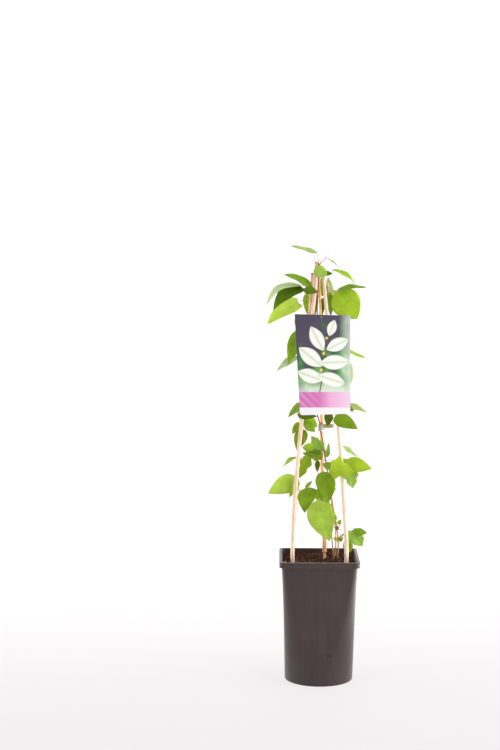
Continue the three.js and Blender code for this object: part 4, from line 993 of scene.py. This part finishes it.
def make_soil():
    inset = POT_WALL + GAP
    edge = pot_half(SOIL_LEVEL) - inset
    make_soil_body(edge, inset)
    scatter = scatter_tree()
    for seed, (name, size, density, small, large, tilt, finish, reach) in enumerate(LOOSE_BITS, FIRST_SEED):
        ground = []
        for k in range(BED_RINGS, 0, -1):
            for x, y, _ in ring_points(reach * k / BED_RINGS * edge, SOIL_LEVEL):
                ground.append((x, y, rough_soil(x, y)))
        bed = mesh_piece(name + "_bed", ground, grid(BED_RINGS, SEGMENTS), finish)
        chip = lump(name + "_shape", size, seed, finish)
        piece = made_plain(bed, scatter, {
            "Chip": chip, "Chips per Square Metre": density, "Smallest": small, "Largest": large,
            "Tilt": tilt, "Seed": seed, "Material": finish}, name)
        bpy.data.objects.remove(chip)
        hold(piece, "soil")
    pebble = lump("pebble", (4.0, 3.2, 2.8), 21, PEBBLE_FINISH)
    pebble.data.transform(Euler((0, 0, 0.5)).to_matrix().to_4x4())
    for vertex in pebble.data.vertices:
        vertex.co += Vector(PEBBLE_AT) * MM
    hold(pebble, "soil")


# Canes

# How deep a cut end is hollow
HOLLOW = 2
# Heights near a joint that get their own ring
JOINT_STEPS = (-4, -2.6, -1.5, -0.7, 0, 0.7, 1.5, 2.6, 4)
# Distance between the other rings, and the radius of the line that a leaf left at a joint
RING_STEP = 9.0
SCAR = 0.32


def cane_radius(cane, height):
    bottom, top = cane["path"][0][2], cane["path"][-1][2]
    return cane["radii"][0] + (cane["radii"][1] - cane["radii"][0]) * (height - bottom) / (top - bottom)


def lathe(name, profile, middle, sides, material):
    """A closed shape turned about an upright line, from a profile whose ends lie on the line."""
    points = [(middle[0], middle[1], middle[2] + profile[0][1])]
    for radius, height in profile[1:-1]:
        for i in range(sides):
            angle = 2 * math.pi * i / sides
            points.append((middle[0] + radius * math.cos(angle), middle[1] + radius * math.sin(angle),
                           middle[2] + height))
    points.append((middle[0], middle[1], middle[2] + profile[-1][1]))
    faces = []
    last = 1 + (len(profile) - 3) * sides
    for i in range(sides):
        j = (i + 1) % sides
        faces.append((0, 1 + j, 1 + i))
        for a in range(1, last, sides):
            faces.append((a + i, a + j, a + sides + j, a + sides + i))
        faces.append((last + i, last + j, len(points) - 1))
    return mesh_piece(name, points, faces, material, smooth=False)


def make_cane(name, material):
    cane = CANES[name]
    line = smooth_path(cane["path"], 400)
    bottom, top = cane["path"][0][2], cane["path"][-1][2]
    heights = set(np.arange(bottom, top - HOLLOW - 3, RING_STEP)) | {top - HOLLOW}
    for joint in cane["joints"]:
        heights |= {joint + step for step in JOINT_STEPS}
    waist, depth = cane.get("waist", (bottom, 0))
    points, radii = [], []
    for z in sorted(heights):
        knuckle = sum(math.exp(-((z - joint) / 1.3) ** 2) - 0.45 * math.exp(-((z - joint - 1.6) / 0.8) ** 2)
                      for joint in cane["joints"])
        slim = depth * clamp((waist - z) / 1.5)
        points.append(place_at(line, z))
        radii.append(cane_radius(cane, z) + KNUCKLE * knuckle - slim + 0.06 * math.sin(z * 0.11))
    hold(tubes(name + "_bamboo", [(points, radii)], 20, material), name)

    rings = []
    for joint in cane["joints"]:
        if joint >= SOIL_LEVEL:
            spot = place_at(line, joint)
            ring = hoop((spot[0], spot[1], joint), cane_radius(cane, joint) + KNUCKLE - 0.12, 33, 0.25, 3)
            rings.append((ring, [SCAR] * len(ring)))
    hold(tubes(name + "_scars", rings, 6, WOOD if material is TAN_STAKE else TAN_STAKE), name)

    full = radii[-1] + 0.05
    sleeve = cane.get("brown_tip", 0.8)
    profile = [(0, -sleeve - HOLLOW), (full, -sleeve), (full, -0.3), (full - 0.3, 0), (full * 0.45, 0),
               (full * 0.4, 0.2 - HOLLOW), (0, 0.1 - HOLLOW)]
    hold(lathe(name + "_cut_end", profile, line[-1], 24, CUT_END), name)


# Leafy stems

# Thickness of a blade, and of the solid's blade, which the stalk runs into the middle of
BLADE = 0.55
CAD_BLADE = 0.8
# Cells from the midrib to a blade's edge, and mm between its rows
HALF_CELLS = 6
ROW_STEP = 2.2
# Relief of a blade in mm: puckers between veins, ragged edge and the midrib's gutter
PUCKER = 0.22
RAGGED = 0.25
GUTTER = 0.35


def half_width(form, along):
    shape = FORMS[form]
    swell = max(math.sin(math.pi * along ** shape["belly"]), 0) ** shape["blunt"]
    lobes = clamp((along - 0.06) / 0.12) * clamp((0.84 - along) / 0.2)
    return swell * (1 + shape["cut"] * lobes * math.cos(2 * math.pi * (along - 0.3) / 0.42))


def leaf_frame(one):
    """The leaf's own directions, along its midrib, out of its face and across it, and its length."""
    along = np.subtract(one["tip"], one["base"]).astype(float)
    length = np.linalg.norm(along)
    along /= length
    out = np.array(one["face"], float)
    out -= out.dot(along) * along
    out /= np.linalg.norm(out)
    return along, out, np.cross(along, out), length


def midrib(one, directions, share):
    along, out, across, length = directions
    swing = 4 * share * (1 - share)
    return (np.array(one["base"], float) + along * length * share + out * one["arch"] * swing
            + across * one["bend"] * swing)


def blade(one, phase, seed):
    """One leaf blade: points, faces, and each point's place on the leaf, its side and its painted shade."""
    directions = leaf_frame(one)
    along, out, across, length = directions
    rows = max(10, int(length / ROW_STEP))
    fold = math.radians(one["fold"])
    shape = FORMS[one["form"]]

    def surface(s, v):
        side = 1 if v > 0 else -1
        reach = abs(v)
        half = half_width(one["form"], s) * one["width"] / 2
        back = s - shape["lobe"] * (1 - s) ** 5 * reach ** 2
        ripple = math.sin(3.2 * math.pi * s + phase + (0 if side > 0 else 1.9))
        fade = min(1, 4 * s * (1 - s) + 0.2)
        quilt = math.sin(reach * 9 + 1.2) * math.sin(s * length * 0.55 - reach * 5)
        pucker = PUCKER * quilt * fade * (0 < reach < 1)
        frayed = noise.noise(Vector((s * length * 0.28, side * 5.0 + seed, 0.7)))
        ragged = RAGGED * frayed * (reach == 1) * fade
        return (midrib(one, directions, back)
                + across * (v * half * math.cos(fold) + side * ragged)
                + out * (half * reach ** 1.2 * math.sin(fold) + one["wave"] * ripple * fade * reach ** 2
                         + pucker - GUTTER * (1 - reach) ** 8 * fade))

    points, places = [midrib(one, directions, 0.0)], [(0.0, 0.5)]
    for r in range(1, rows):
        s = r / rows
        s = 0.5 - 0.5 * math.cos(math.pi * s) * (0.35 + 0.65 * abs(math.cos(math.pi * s)) ** 0.2)
        s = min(max(s, 0.02), 0.985)
        for c in range(-HALF_CELLS, HALF_CELLS + 1):
            v = c / HALF_CELLS
            points.append(surface(s, v))
            places.append((s, 0.5 + 0.5 * v))
    points.append(midrib(one, directions, 1.0))
    places.append((1.0, 0.5))

    count = len(points)
    wide = 2 * HALF_CELLS + 1
    tail = 1 + (rows - 2) * wide
    faces = []
    for c in range(wide - 1):
        faces.append((1 + c, 2 + c, 0))
        faces.append((tail + c, tail + c + 1, count - 1))
    faces += grid(rows - 1, wide, 1, closed=False)
    under = [tuple(count + i for i in reversed(face)) for face in faces]
    rim = []
    for first in (1, wide):
        line = [0] + [first + r * wide for r in range(rows - 1)] + [count - 1]
        for a, b in zip(line, line[1:]):
            quad = (a, b, b + count, a + count)
            rim.append(quad if first == 1 else tuple(reversed(quad)))
    lower = [p - out * BLADE for p in points]
    # Painted shade: the upper half of the blade is painted lighter and the lower half darker, by split
    light = [1 + one["split"] * (2 * side - 1) * across[2] for _, side in places]
    return points + lower, faces + under + rim, places * 2, [0.0] * count + [1.0] * count, light * 2


def leaf_tone(one, seed):
    """The leaf's own colour: its tone, a little warmer or cooler than its neighbours."""
    base = np.array(linear(TONES[one["tone"]])[:3])
    drift = 1 + 0.08 * math.sin(seed * 2.3)
    warm = 1 + 0.06 * math.sin(seed * 5.1)
    return (base * drift * np.array([warm, 1.0, 2 - warm])).tolist() + [1.0]


def leaf_stalk(one, stem):
    """A leaf's stalk, from its stem into the blade, and on below it as the raised midrib."""
    directions = leaf_frame(one)
    out = directions[1]
    start = place_at(stem, one["start"])
    below = -out * CAD_BLADE / 2
    neck = np.array(one["base"], float) + below
    span = np.linalg.norm(neck - start)
    via = np.array(one["via"], float) if one["via"] else (start + neck) / 2 + np.array([0, 0, 0.1 * span])
    end = midrib(one, directions, 3 / directions[3]) + below
    stalk = 0.4 + min(one["width"] / 130, 0.25)
    run, radii = tapered([start, via, neck, end], 16, stalk + 0.12, stalk * 0.7)
    thin = np.linspace(stalk * 0.6, 0.12, 9)
    shares = np.linspace(0.14, 0.85, 9)
    rib = [midrib(one, directions, s) - out * (BLADE + r * 0.9) for s, r in zip(shares, thin)]
    return run + rib, radii + list(thin)


def make_vine(name):
    path = STEMS[name]["path"]
    stem = smooth_path(path, 260)
    points, faces, places, sides, tones = [], [], [], [], []
    stalks = []
    for k, one in enumerate(LEAVES[name]):
        verts, cells, spots, under, light = blade(one, 1.7 * k, k + 1)
        start = len(points)
        points.extend(verts)
        faces.extend(tuple(start + i for i in cell) for cell in cells)
        places.extend(spots)
        sides.extend(under)
        # The tones carry each blade's painted shade
        tones.extend(np.outer(light, leaf_tone(one, k + 1)))
        stalks.append(leaf_stalk(one, stem))
    piece = mesh_piece(name + "_leaves", points, faces, LEAF)
    mark_points(piece, "leaf", places, [("tone", "FLOAT_COLOR", "color", np.array(tones).ravel()),
                                        ("underside", "FLOAT", "value", sides)])
    hold(piece, name)

    stalks += [tapered(bare, 14, 0.6, 0.28) for bare in BARE_STALKS[name]]
    hold(tubes(name + "_leaf_stalks", stalks, 8, STALK), name)

    line = smooth_path(path, 200)
    radii = []
    for i, place in enumerate(line):
        share = i / (len(line) - 1)
        swell = sum(0.55 * math.exp(-((place[2] - one["start"]) / 1.6) ** 2) for one in LEAVES[name])
        thick = STEMS[name]["radius"] * (1.05 - 0.3 * share)
        radii.append(thick + min(swell, 0.8) + 0.07 * math.sin(i * 1.9))
    hold(tubes(name + "_stem", [(list(line), radii)], 12, STEM), name)


# Stubs of old shoots on the knot and on the stem below it, as paths
STUBS = [
    [(32, 16, 259), (37, 14, 264), (39, 13, 268)],
    [(32, 16, 258), (27, 14, 260), (25.5, 13, 263)],
    [(32, 16, 257), (37, 13, 256), (41, 12, 258)],
    [(32, 16, 256), (29, 13, 252), (28, 12, 249)],
    [(34.5, 19, 236), (41, 14, 243), (45, 12, 251)],
    [(34.5, 19, 238), (38, 15, 246), (39, 14, 252)],
]


def make_knot():
    """The dark woody knot low on the middle stem, with the stubs of old shoots."""
    shape = bmesh.new()
    bmesh.ops.create_icosphere(shape, subdivisions=4, radius=1)
    for vertex in shape.verts:
        rough = 1 + 0.35 * noise.noise(vertex.co * 1.8 + Vector((3, 1, 7)))
        rough += 0.12 * noise.noise(vertex.co * 5)
        vertex.co = (vertex.co * rough * KNOT_SIZE + Vector(KNOT_AT)) * MM
    hold(shaped_piece("vine_centre_knot", shape, WOOD, smooth=True), "vine_centre")
    runs = [tapered(path, 10, 0.75, 0.3) for path in STUBS]
    hold(tubes("vine_centre_stubs", runs, 7, WOOD), "vine_centre")


# Ties and label

# A wound tape: points round each post, rows from edge to edge, and how loosely it lies
WRAP_STEPS = 22
TAPE_ROWS = 14
TAPE_LOOSE = 0.05
# The tape's loose end: where it starts, how far it runs, its lower and upper edge, and half its thickness
TAIL_START = (8.4, 7.9)
TAIL_RUN = 16.2
TAIL_EDGES = (432.4, 439.0)
TAIL_HALF = 0.3
TAIL_CELLS = 18
# Half the thread's thickness, and half that of its knot
THREAD_HALF = 0.45
KNOT_HALF = 0.7
# The label's net: distance between inner points, their least distance from the hole, and their right limit
NET_STEP = 6
NET_HOLE = 5
NET_RIGHT = 46.5


def wrap_outline(posts, extra):
    """The outline of a tape drawn tight round posts, given anticlockwise as x, y and radius."""
    outline = []
    for i, (x, y, radius) in enumerate(posts):
        before, after = posts[i - 1], posts[(i + 1) % len(posts)]
        angles = []
        for a, b in ((before, posts[i]), (posts[i], after)):
            lean = math.asin((a[2] - b[2]) / math.hypot(b[0] - a[0], b[1] - a[1]))
            angles.append(math.atan2(b[1] - a[1], b[0] - a[0]) - math.pi / 2 + lean)
        start, end = angles
        while end < start:
            end += 2 * math.pi
        for angle in np.linspace(start, end, WRAP_STEPS):
            outline.append((x + (radius + extra) * math.cos(angle), y + (radius + extra) * math.sin(angle)))
    return outline


def wound_tape(name, posts, low, high, node):
    """Three overlapping turns of tape round posts, the edges wandering a little."""
    points, faces = [], []
    for wall in (0, 1):
        for r in range(TAPE_ROWS + 1):
            share = r / TAPE_ROWS
            turns = 0.55 + 0.35 * abs(math.sin(3 * math.pi * share + 0.4))
            outline = wrap_outline(posts, TAPE_LOOSE + wall * turns)
            count = len(outline)
            for i, (x, y) in enumerate(outline):
                around = 2 * math.pi * i / count
                sway = (0.35 * math.sin(around + 1) + 0.2 * math.sin(3 * around)) * (1 - 2 * abs(share - 0.5))
                points.append((x, y, low + (high - low) * share + 0.5 * sway))
    size = (TAPE_ROWS + 1) * count
    top = TAPE_ROWS * count
    for r in range(TAPE_ROWS):
        a, b = r * count, (r + 1) * count
        for i in range(count):
            j = (i + 1) % count
            faces.append((size + a + i, size + a + j, size + b + j, size + b + i))
            faces.append((a + j, a + i, b + i, b + j))
    for i in range(count):
        j = (i + 1) % count
        faces.append((i, j, size + j, size + i))
        faces.append((top + j, top + i, size + top + i, size + top + j))
    hold(mesh_piece(name, points, faces, TAPE), node)


def make_tail():
    """The tape's loose end, sagging and curled towards its tip."""
    points, faces = [], []
    for k in range(TAIL_CELLS + 1):
        t = k / TAIL_CELLS
        x = TAIL_START[0] + TAIL_RUN * t
        y = TAIL_START[1] - 1.2 * t - 2.8 * t * t
        bow = 0.5 * math.sin(3.1 * t)
        low = TAIL_EDGES[0] + 1.6 * t - bow
        high = TAIL_EDGES[1] + 1.2 * t + bow + 0.5 * math.sin(5 * t)
        for side in (-TAIL_HALF, TAIL_HALF):
            points.append((x, y + side, low))
            points.append((x, y + side + 0.4 * math.sin(4 * t), (low + high) / 2))
            points.append((x + 0.6 * math.sin(2 * t), y + side, high))
    for a in range(0, 6 * TAIL_CELLS, 6):
        b = a + 6
        for c in range(2):
            faces.append((a + c, b + c, b + c + 1, a + c + 1))
            faces.append((a + c + 4, b + c + 4, b + c + 3, a + c + 3))
        faces.append((a, a + 3, b + 3, b))
        faces.append((a + 2, b + 2, b + 5, a + 5))
    end = 6 * TAIL_CELLS
    faces += [(0, 1, 4, 3), (1, 2, 5, 4)]
    faces += [(end + 1, end, end + 3, end + 4), (end + 2, end + 1, end + 4, end + 5)]
    hold(mesh_piece("stake_tie_tail", points, faces, TAIL_TAPE), "stake_tie")


def post(name, height, extra):
    """A cane as a post for a tape: x, y and radius at a height."""
    x, y, _ = place_at(smooth_path(CANES[name]["path"], 400), height)
    return x, y, cane_radius(CANES[name], height) + extra


def make_ties():
    middle = sum(TOP_TIE) / 2
    posts = [post(name, middle, LOOSE) for name in ("cane_front_left", "cane_front_right", "stake_centre")]
    wound_tape("top_tie_tape", posts, *TOP_TIE, "top_tie")
    middle = sum(STAKE_TIE) / 2
    stem = place_at(smooth_path(STEMS["vine_centre"]["path"], 400), middle)
    posts = [(stem[0], stem[1], STEM_ROOM), post("stake_centre", middle, STAKE_ROOM)]
    wound_tape("stake_tie_tape", posts, *STAKE_TIE, "stake_tie")
    make_tail()


def label_outline():
    """The label's outline: straight edges and rounded corners."""
    outline = []
    for i, (x, y, bend) in enumerate(LABEL_CORNERS):
        corner = np.array([x, y], float)
        ends = []
        for other in (LABEL_CORNERS[i - 1], LABEL_CORNERS[(i + 1) % 4]):
            step = np.array(other[:2], float) - corner
            ends.append(corner + step / np.linalg.norm(step) * bend)
        for t in np.linspace(0, 1, 9):
            outline.append((1 - t) ** 2 * ends[0] + 2 * t * (1 - t) * corner + t * t * ends[1])
    return outline


def inside_outline(x, y, outline):
    """True where a point lies inside a closed outline."""
    inside = False
    for i in range(len(outline)):
        (x1, y1), (x2, y2) = outline[i - 1], outline[i]
        if (y1 > y) != (y2 > y) and x < (x2 - x1) * (y - y1) / (y2 - y1) + x1:
            inside = not inside
    return inside


def label_cells():
    """The label's flat net: its points, and its cells that face the front, without the hole."""
    outline = label_outline()
    hole = [np.array([LABEL_HOLE * math.cos(a), LABEL_HOLE * math.sin(a)])
            for a in np.linspace(0, 2 * math.pi, 24, endpoint=False)]
    inner = [np.array([x, y]) for x in range(-40, 48, NET_STEP) for y in range(-160, 0, NET_STEP)
             if math.hypot(x, y) > NET_HOLE and -43 - 0.053 * y + 2 < x < NET_RIGHT]
    base = len(outline)
    edges = [(i, (i + 1) % base) for i in range(base)]
    edges += [(base + i, base + (i + 1) % len(hole)) for i in range(len(hole))]
    flat, _, cells, *_ = delaunay_2d_cdt([Vector(p) for p in outline + hole + inner], edges, [], 0, 1e-5)
    kept = []
    for cell in cells:
        x = sum(flat[i].x for i in cell) / 3
        y = sum(flat[i].y for i in cell) / 3
        if math.hypot(x, y) > LABEL_HOLE * 0.98 and inside_outline(x, y, outline):
            area = sum(flat[a].x * flat[b].y - flat[b].x * flat[a].y for a, b in sides_of(cell))
            kept.append(tuple(cell) if area > 0 else tuple(reversed(cell)))
    return flat, kept


def sides_of(cell):
    return list(zip(cell, (*cell[1:], cell[0])))


def make_label():
    flat, kept = label_cells()
    lean = math.pi / 2 - LABEL_LEAN
    count = len(flat)
    points, places = [], []
    for lift in (LABEL_THICK, 0.0):
        for p in flat:
            bow = LABEL_BOW * (1 - ((p.x - 2) / 48) ** 2) * clamp(-p.y / 60)
            z = lift + bow
            points.append((LABEL_AT[0] + p.x, LABEL_AT[1] + p.y * math.cos(lean) - z * math.sin(lean),
                           LABEL_AT[2] + p.y * math.sin(lean) + z * math.cos(lean)))
            places.append((p.x / 100, p.y / 100))
    faces = kept + [tuple(count + i for i in reversed(cell)) for cell in kept]
    border = dict.fromkeys(side for cell in kept for side in sides_of(cell))
    faces += [(a, a + count, b + count, b) for a, b in border if (b, a) not in border]
    piece = mesh_piece("label_card", points, faces, PRINT, smooth=False)
    mark_points(piece, "print", places, [("back_side", "FLOAT", "value", [0.0] * count + [1.0] * count)])
    hold(piece, "label")


def make_label_tie():
    """A thread looped round the right cane, drawn through the label's hole and knotted in front of it."""
    x, y, z = LABEL_AT
    cane_x, cane_y, reach = post("cane_front_right", z, THREAD_REACH)
    around = hoop((cane_x, cane_y, z), reach, 41, 0.5, 1)
    front = y - LABEL_THICK - KNOT_FRONT
    path = [(x, front, z), (x, y + 2, z), (x + 3, y + 4.5, z), (cane_x - reach, cane_y, z)]
    through = smooth_path(path, 24)
    knot = []
    for a in np.linspace(0, 2 * math.pi, 72):
        knot.append((x + 1.15 * (math.sin(a) + 0.75 * math.sin(2 * a)),
                     front + 0.2 - 0.55 * math.sin(3 * a),
                     z + 1.15 * (math.cos(a) - 0.75 * math.cos(2 * a))))
    runs = [(around, [THREAD_HALF] * len(around)), (list(through), [THREAD_HALF] * len(through)),
            (knot, [KNOT_HALF] * len(knot))]
    hold(tubes("label_thread", runs, 8, THREAD), "label_tie")


make_pot()
make_soil()
for cane_name, finish, slot_name in (
    ("cane_front_left", PALE_CANE, "cane"),
    ("cane_back_left", MOTTLED_CANE, "cane_mottled"),
    ("cane_front_right", PALE_CANE_RIGHT, "cane"),
    ("stake_centre", TAN_STAKE, "stake"),
):
    make_cane(cane_name, finish)
for vine in STEMS:
    make_vine(vine)
make_knot()
make_ties()
make_label()
make_label_tie()


# Studio, in metres: a white sweep, soft light from above, both sides and low cards, and the camera

# The sweep: half its width, how far it bends up, its front end and its top
SWEEP_HALF = 2.2
SWEEP_BEND = 1.2
SWEEP_FRONT = -4.0
SWEEP_TOP = 5.0

# Lights: name, place, aim, size and power
LIGHTS = (
    ("softbox_right", (2.2, -0.8, 1.0), (0, 0, 0.3), (2.4, 2.0), 36),
    ("softbox_near_right", (0.9, -0.9, 0.3), (0, 0, 0.15), (0.5, 0.5), 1.5),
    ("softbox_left", (-2.1, -0.6, 1.0), (0, 0, 0.3), (1.8, 1.8), 14),
    ("softbox_front", (-0.3, -3.2, 2.4), (0, 0, 0.4), (1.6, 1.0), 6),
    ("low_card_right", (0.9, 0.3, 0.02), (0.9, 0.3, 1), (1.1, 1.6), 34),
    ("low_card_left", (-1.15, 0.3, 0.02), (-1.15, 0.3, 1), (1.1, 1.6), 32),
    ("softbox_top", (0.2, -0.6, 2.6), (0, 0, 0), (2.2, 2.2), 14),
    ("backdrop_light", (0, 1.2, 1.6), (0, 2.4, 1.0), (2.4, 1.2), 30),
)
# The camera: lens and sensor in mm, its place, and how many degrees it looks down
LENS = 71.54
SENSOR = 36
CAMERA_AT = (-0.1183, -2.532, 0.7123)
CAMERA_DROP = 4.242


def studio_white():
    """Matt white sheet lit through from below, so that shadows stay faint, and dimmer in front."""
    material, tree, shader = new_material("white_studio_paper")
    place = add(tree, "ShaderNodeTexCoord").outputs["Object"]
    mottle = add(tree, "ShaderNodeTexNoise", {"Vector": place, "Scale": 2.0, "Detail": 2})
    colour = add(tree, "ShaderNodeValToRGB", {"Fac": mottle.outputs[0]},
                 stops=[(0.3, "#525051"), (0.7, "#575556")])
    depth = add(tree, "ShaderNodeSeparateXYZ", {0: place}).outputs["Y"]
    glow = add(tree, "ShaderNodeMapRange", {"Value": depth, "From Min": -0.5, "From Max": 1.3,
                                            "To Min": 0.73, "To Max": 0.98}, interpolation_type="SMOOTHSTEP")
    fill(tree, shader, {
        "Base Color": colour.outputs[0], "Emission Strength": glow.outputs[0],
        "Emission Color": linear("#fffbfc"), "Roughness": 0.9})
    return material


def make_sweep():
    profile = [(SWEEP_FRONT, 0.0), (SWEEP_BEND, 0.0)]
    for a in np.linspace(0, math.pi / 2, 20)[1:]:
        profile.append((SWEEP_BEND + SWEEP_BEND * math.sin(a), SWEEP_BEND * (1 - math.cos(a))))
    profile.append((2 * SWEEP_BEND, SWEEP_TOP))
    points = [(side / MM, y / MM, z / MM) for y, z in profile for side in (-SWEEP_HALF, SWEEP_HALF)]
    faces = [(i, i + 1, i + 3, i + 2) for i in range(0, len(points) - 2, 2)]
    mesh_piece("studio_sweep", points, faces, studio_white())


def area_light(name, place, aim, size, power):
    light = bpy.data.lights.new(name, "AREA")
    light.shape = "RECTANGLE"
    light.size, light.size_y = size
    light.energy = power
    lamp = placed(name, light)
    lamp.location = place
    lamp.rotation_euler = (Vector(aim) - Vector(place)).to_track_quat("-Z", "Y").to_euler()


def white_room():
    """An even white room, dimmer at the front, where the dark end of the studio is."""
    world = bpy.data.worlds.new("white_room")
    world.use_nodes = True
    tree = world.node_tree
    tree.nodes.clear()
    facing = add(tree, "ShaderNodeTexCoord").outputs["Generated"]
    split = add(tree, "ShaderNodeSeparateXYZ", {0: facing})
    level = add(tree, "ShaderNodeMapRange", {"Value": split.outputs["Y"], "From Min": -0.9, "From Max": 0.3,
                                             "To Min": 0.25, "To Max": 1.0}, interpolation_type="SMOOTHSTEP")
    sides = add(tree, "ShaderNodeMapRange", {"Value": split.outputs["X"], "From Min": -0.2, "From Max": 1.0,
                                             "To Min": 0.0, "To Max": 0.5}, interpolation_type="SMOOTHSTEP")
    both = add(tree, "ShaderNodeMath", {0: level.outputs[0], 1: sides.outputs[0]}, operation="ADD")
    glow = add(tree, "ShaderNodeBackground", {"Color": (1, 1, 1, 1), "Strength": both.outputs[0]})
    add(tree, "ShaderNodeOutputWorld", {"Surface": glow.outputs[0]})
    bpy.context.scene.world = world


make_sweep()
for light_row in LIGHTS:
    area_light(*light_row)
white_room()
bpy.context.scene.view_settings.view_transform = "Standard"

camera = bpy.data.cameras.new("camera")
camera.lens = LENS
camera.sensor_width = SENSOR
eye = placed("camera", camera)
eye.location = CAMERA_AT
eye.rotation_euler = (math.radians(90 - CAMERA_DROP), 0, 0)
bpy.context.scene.camera = eye
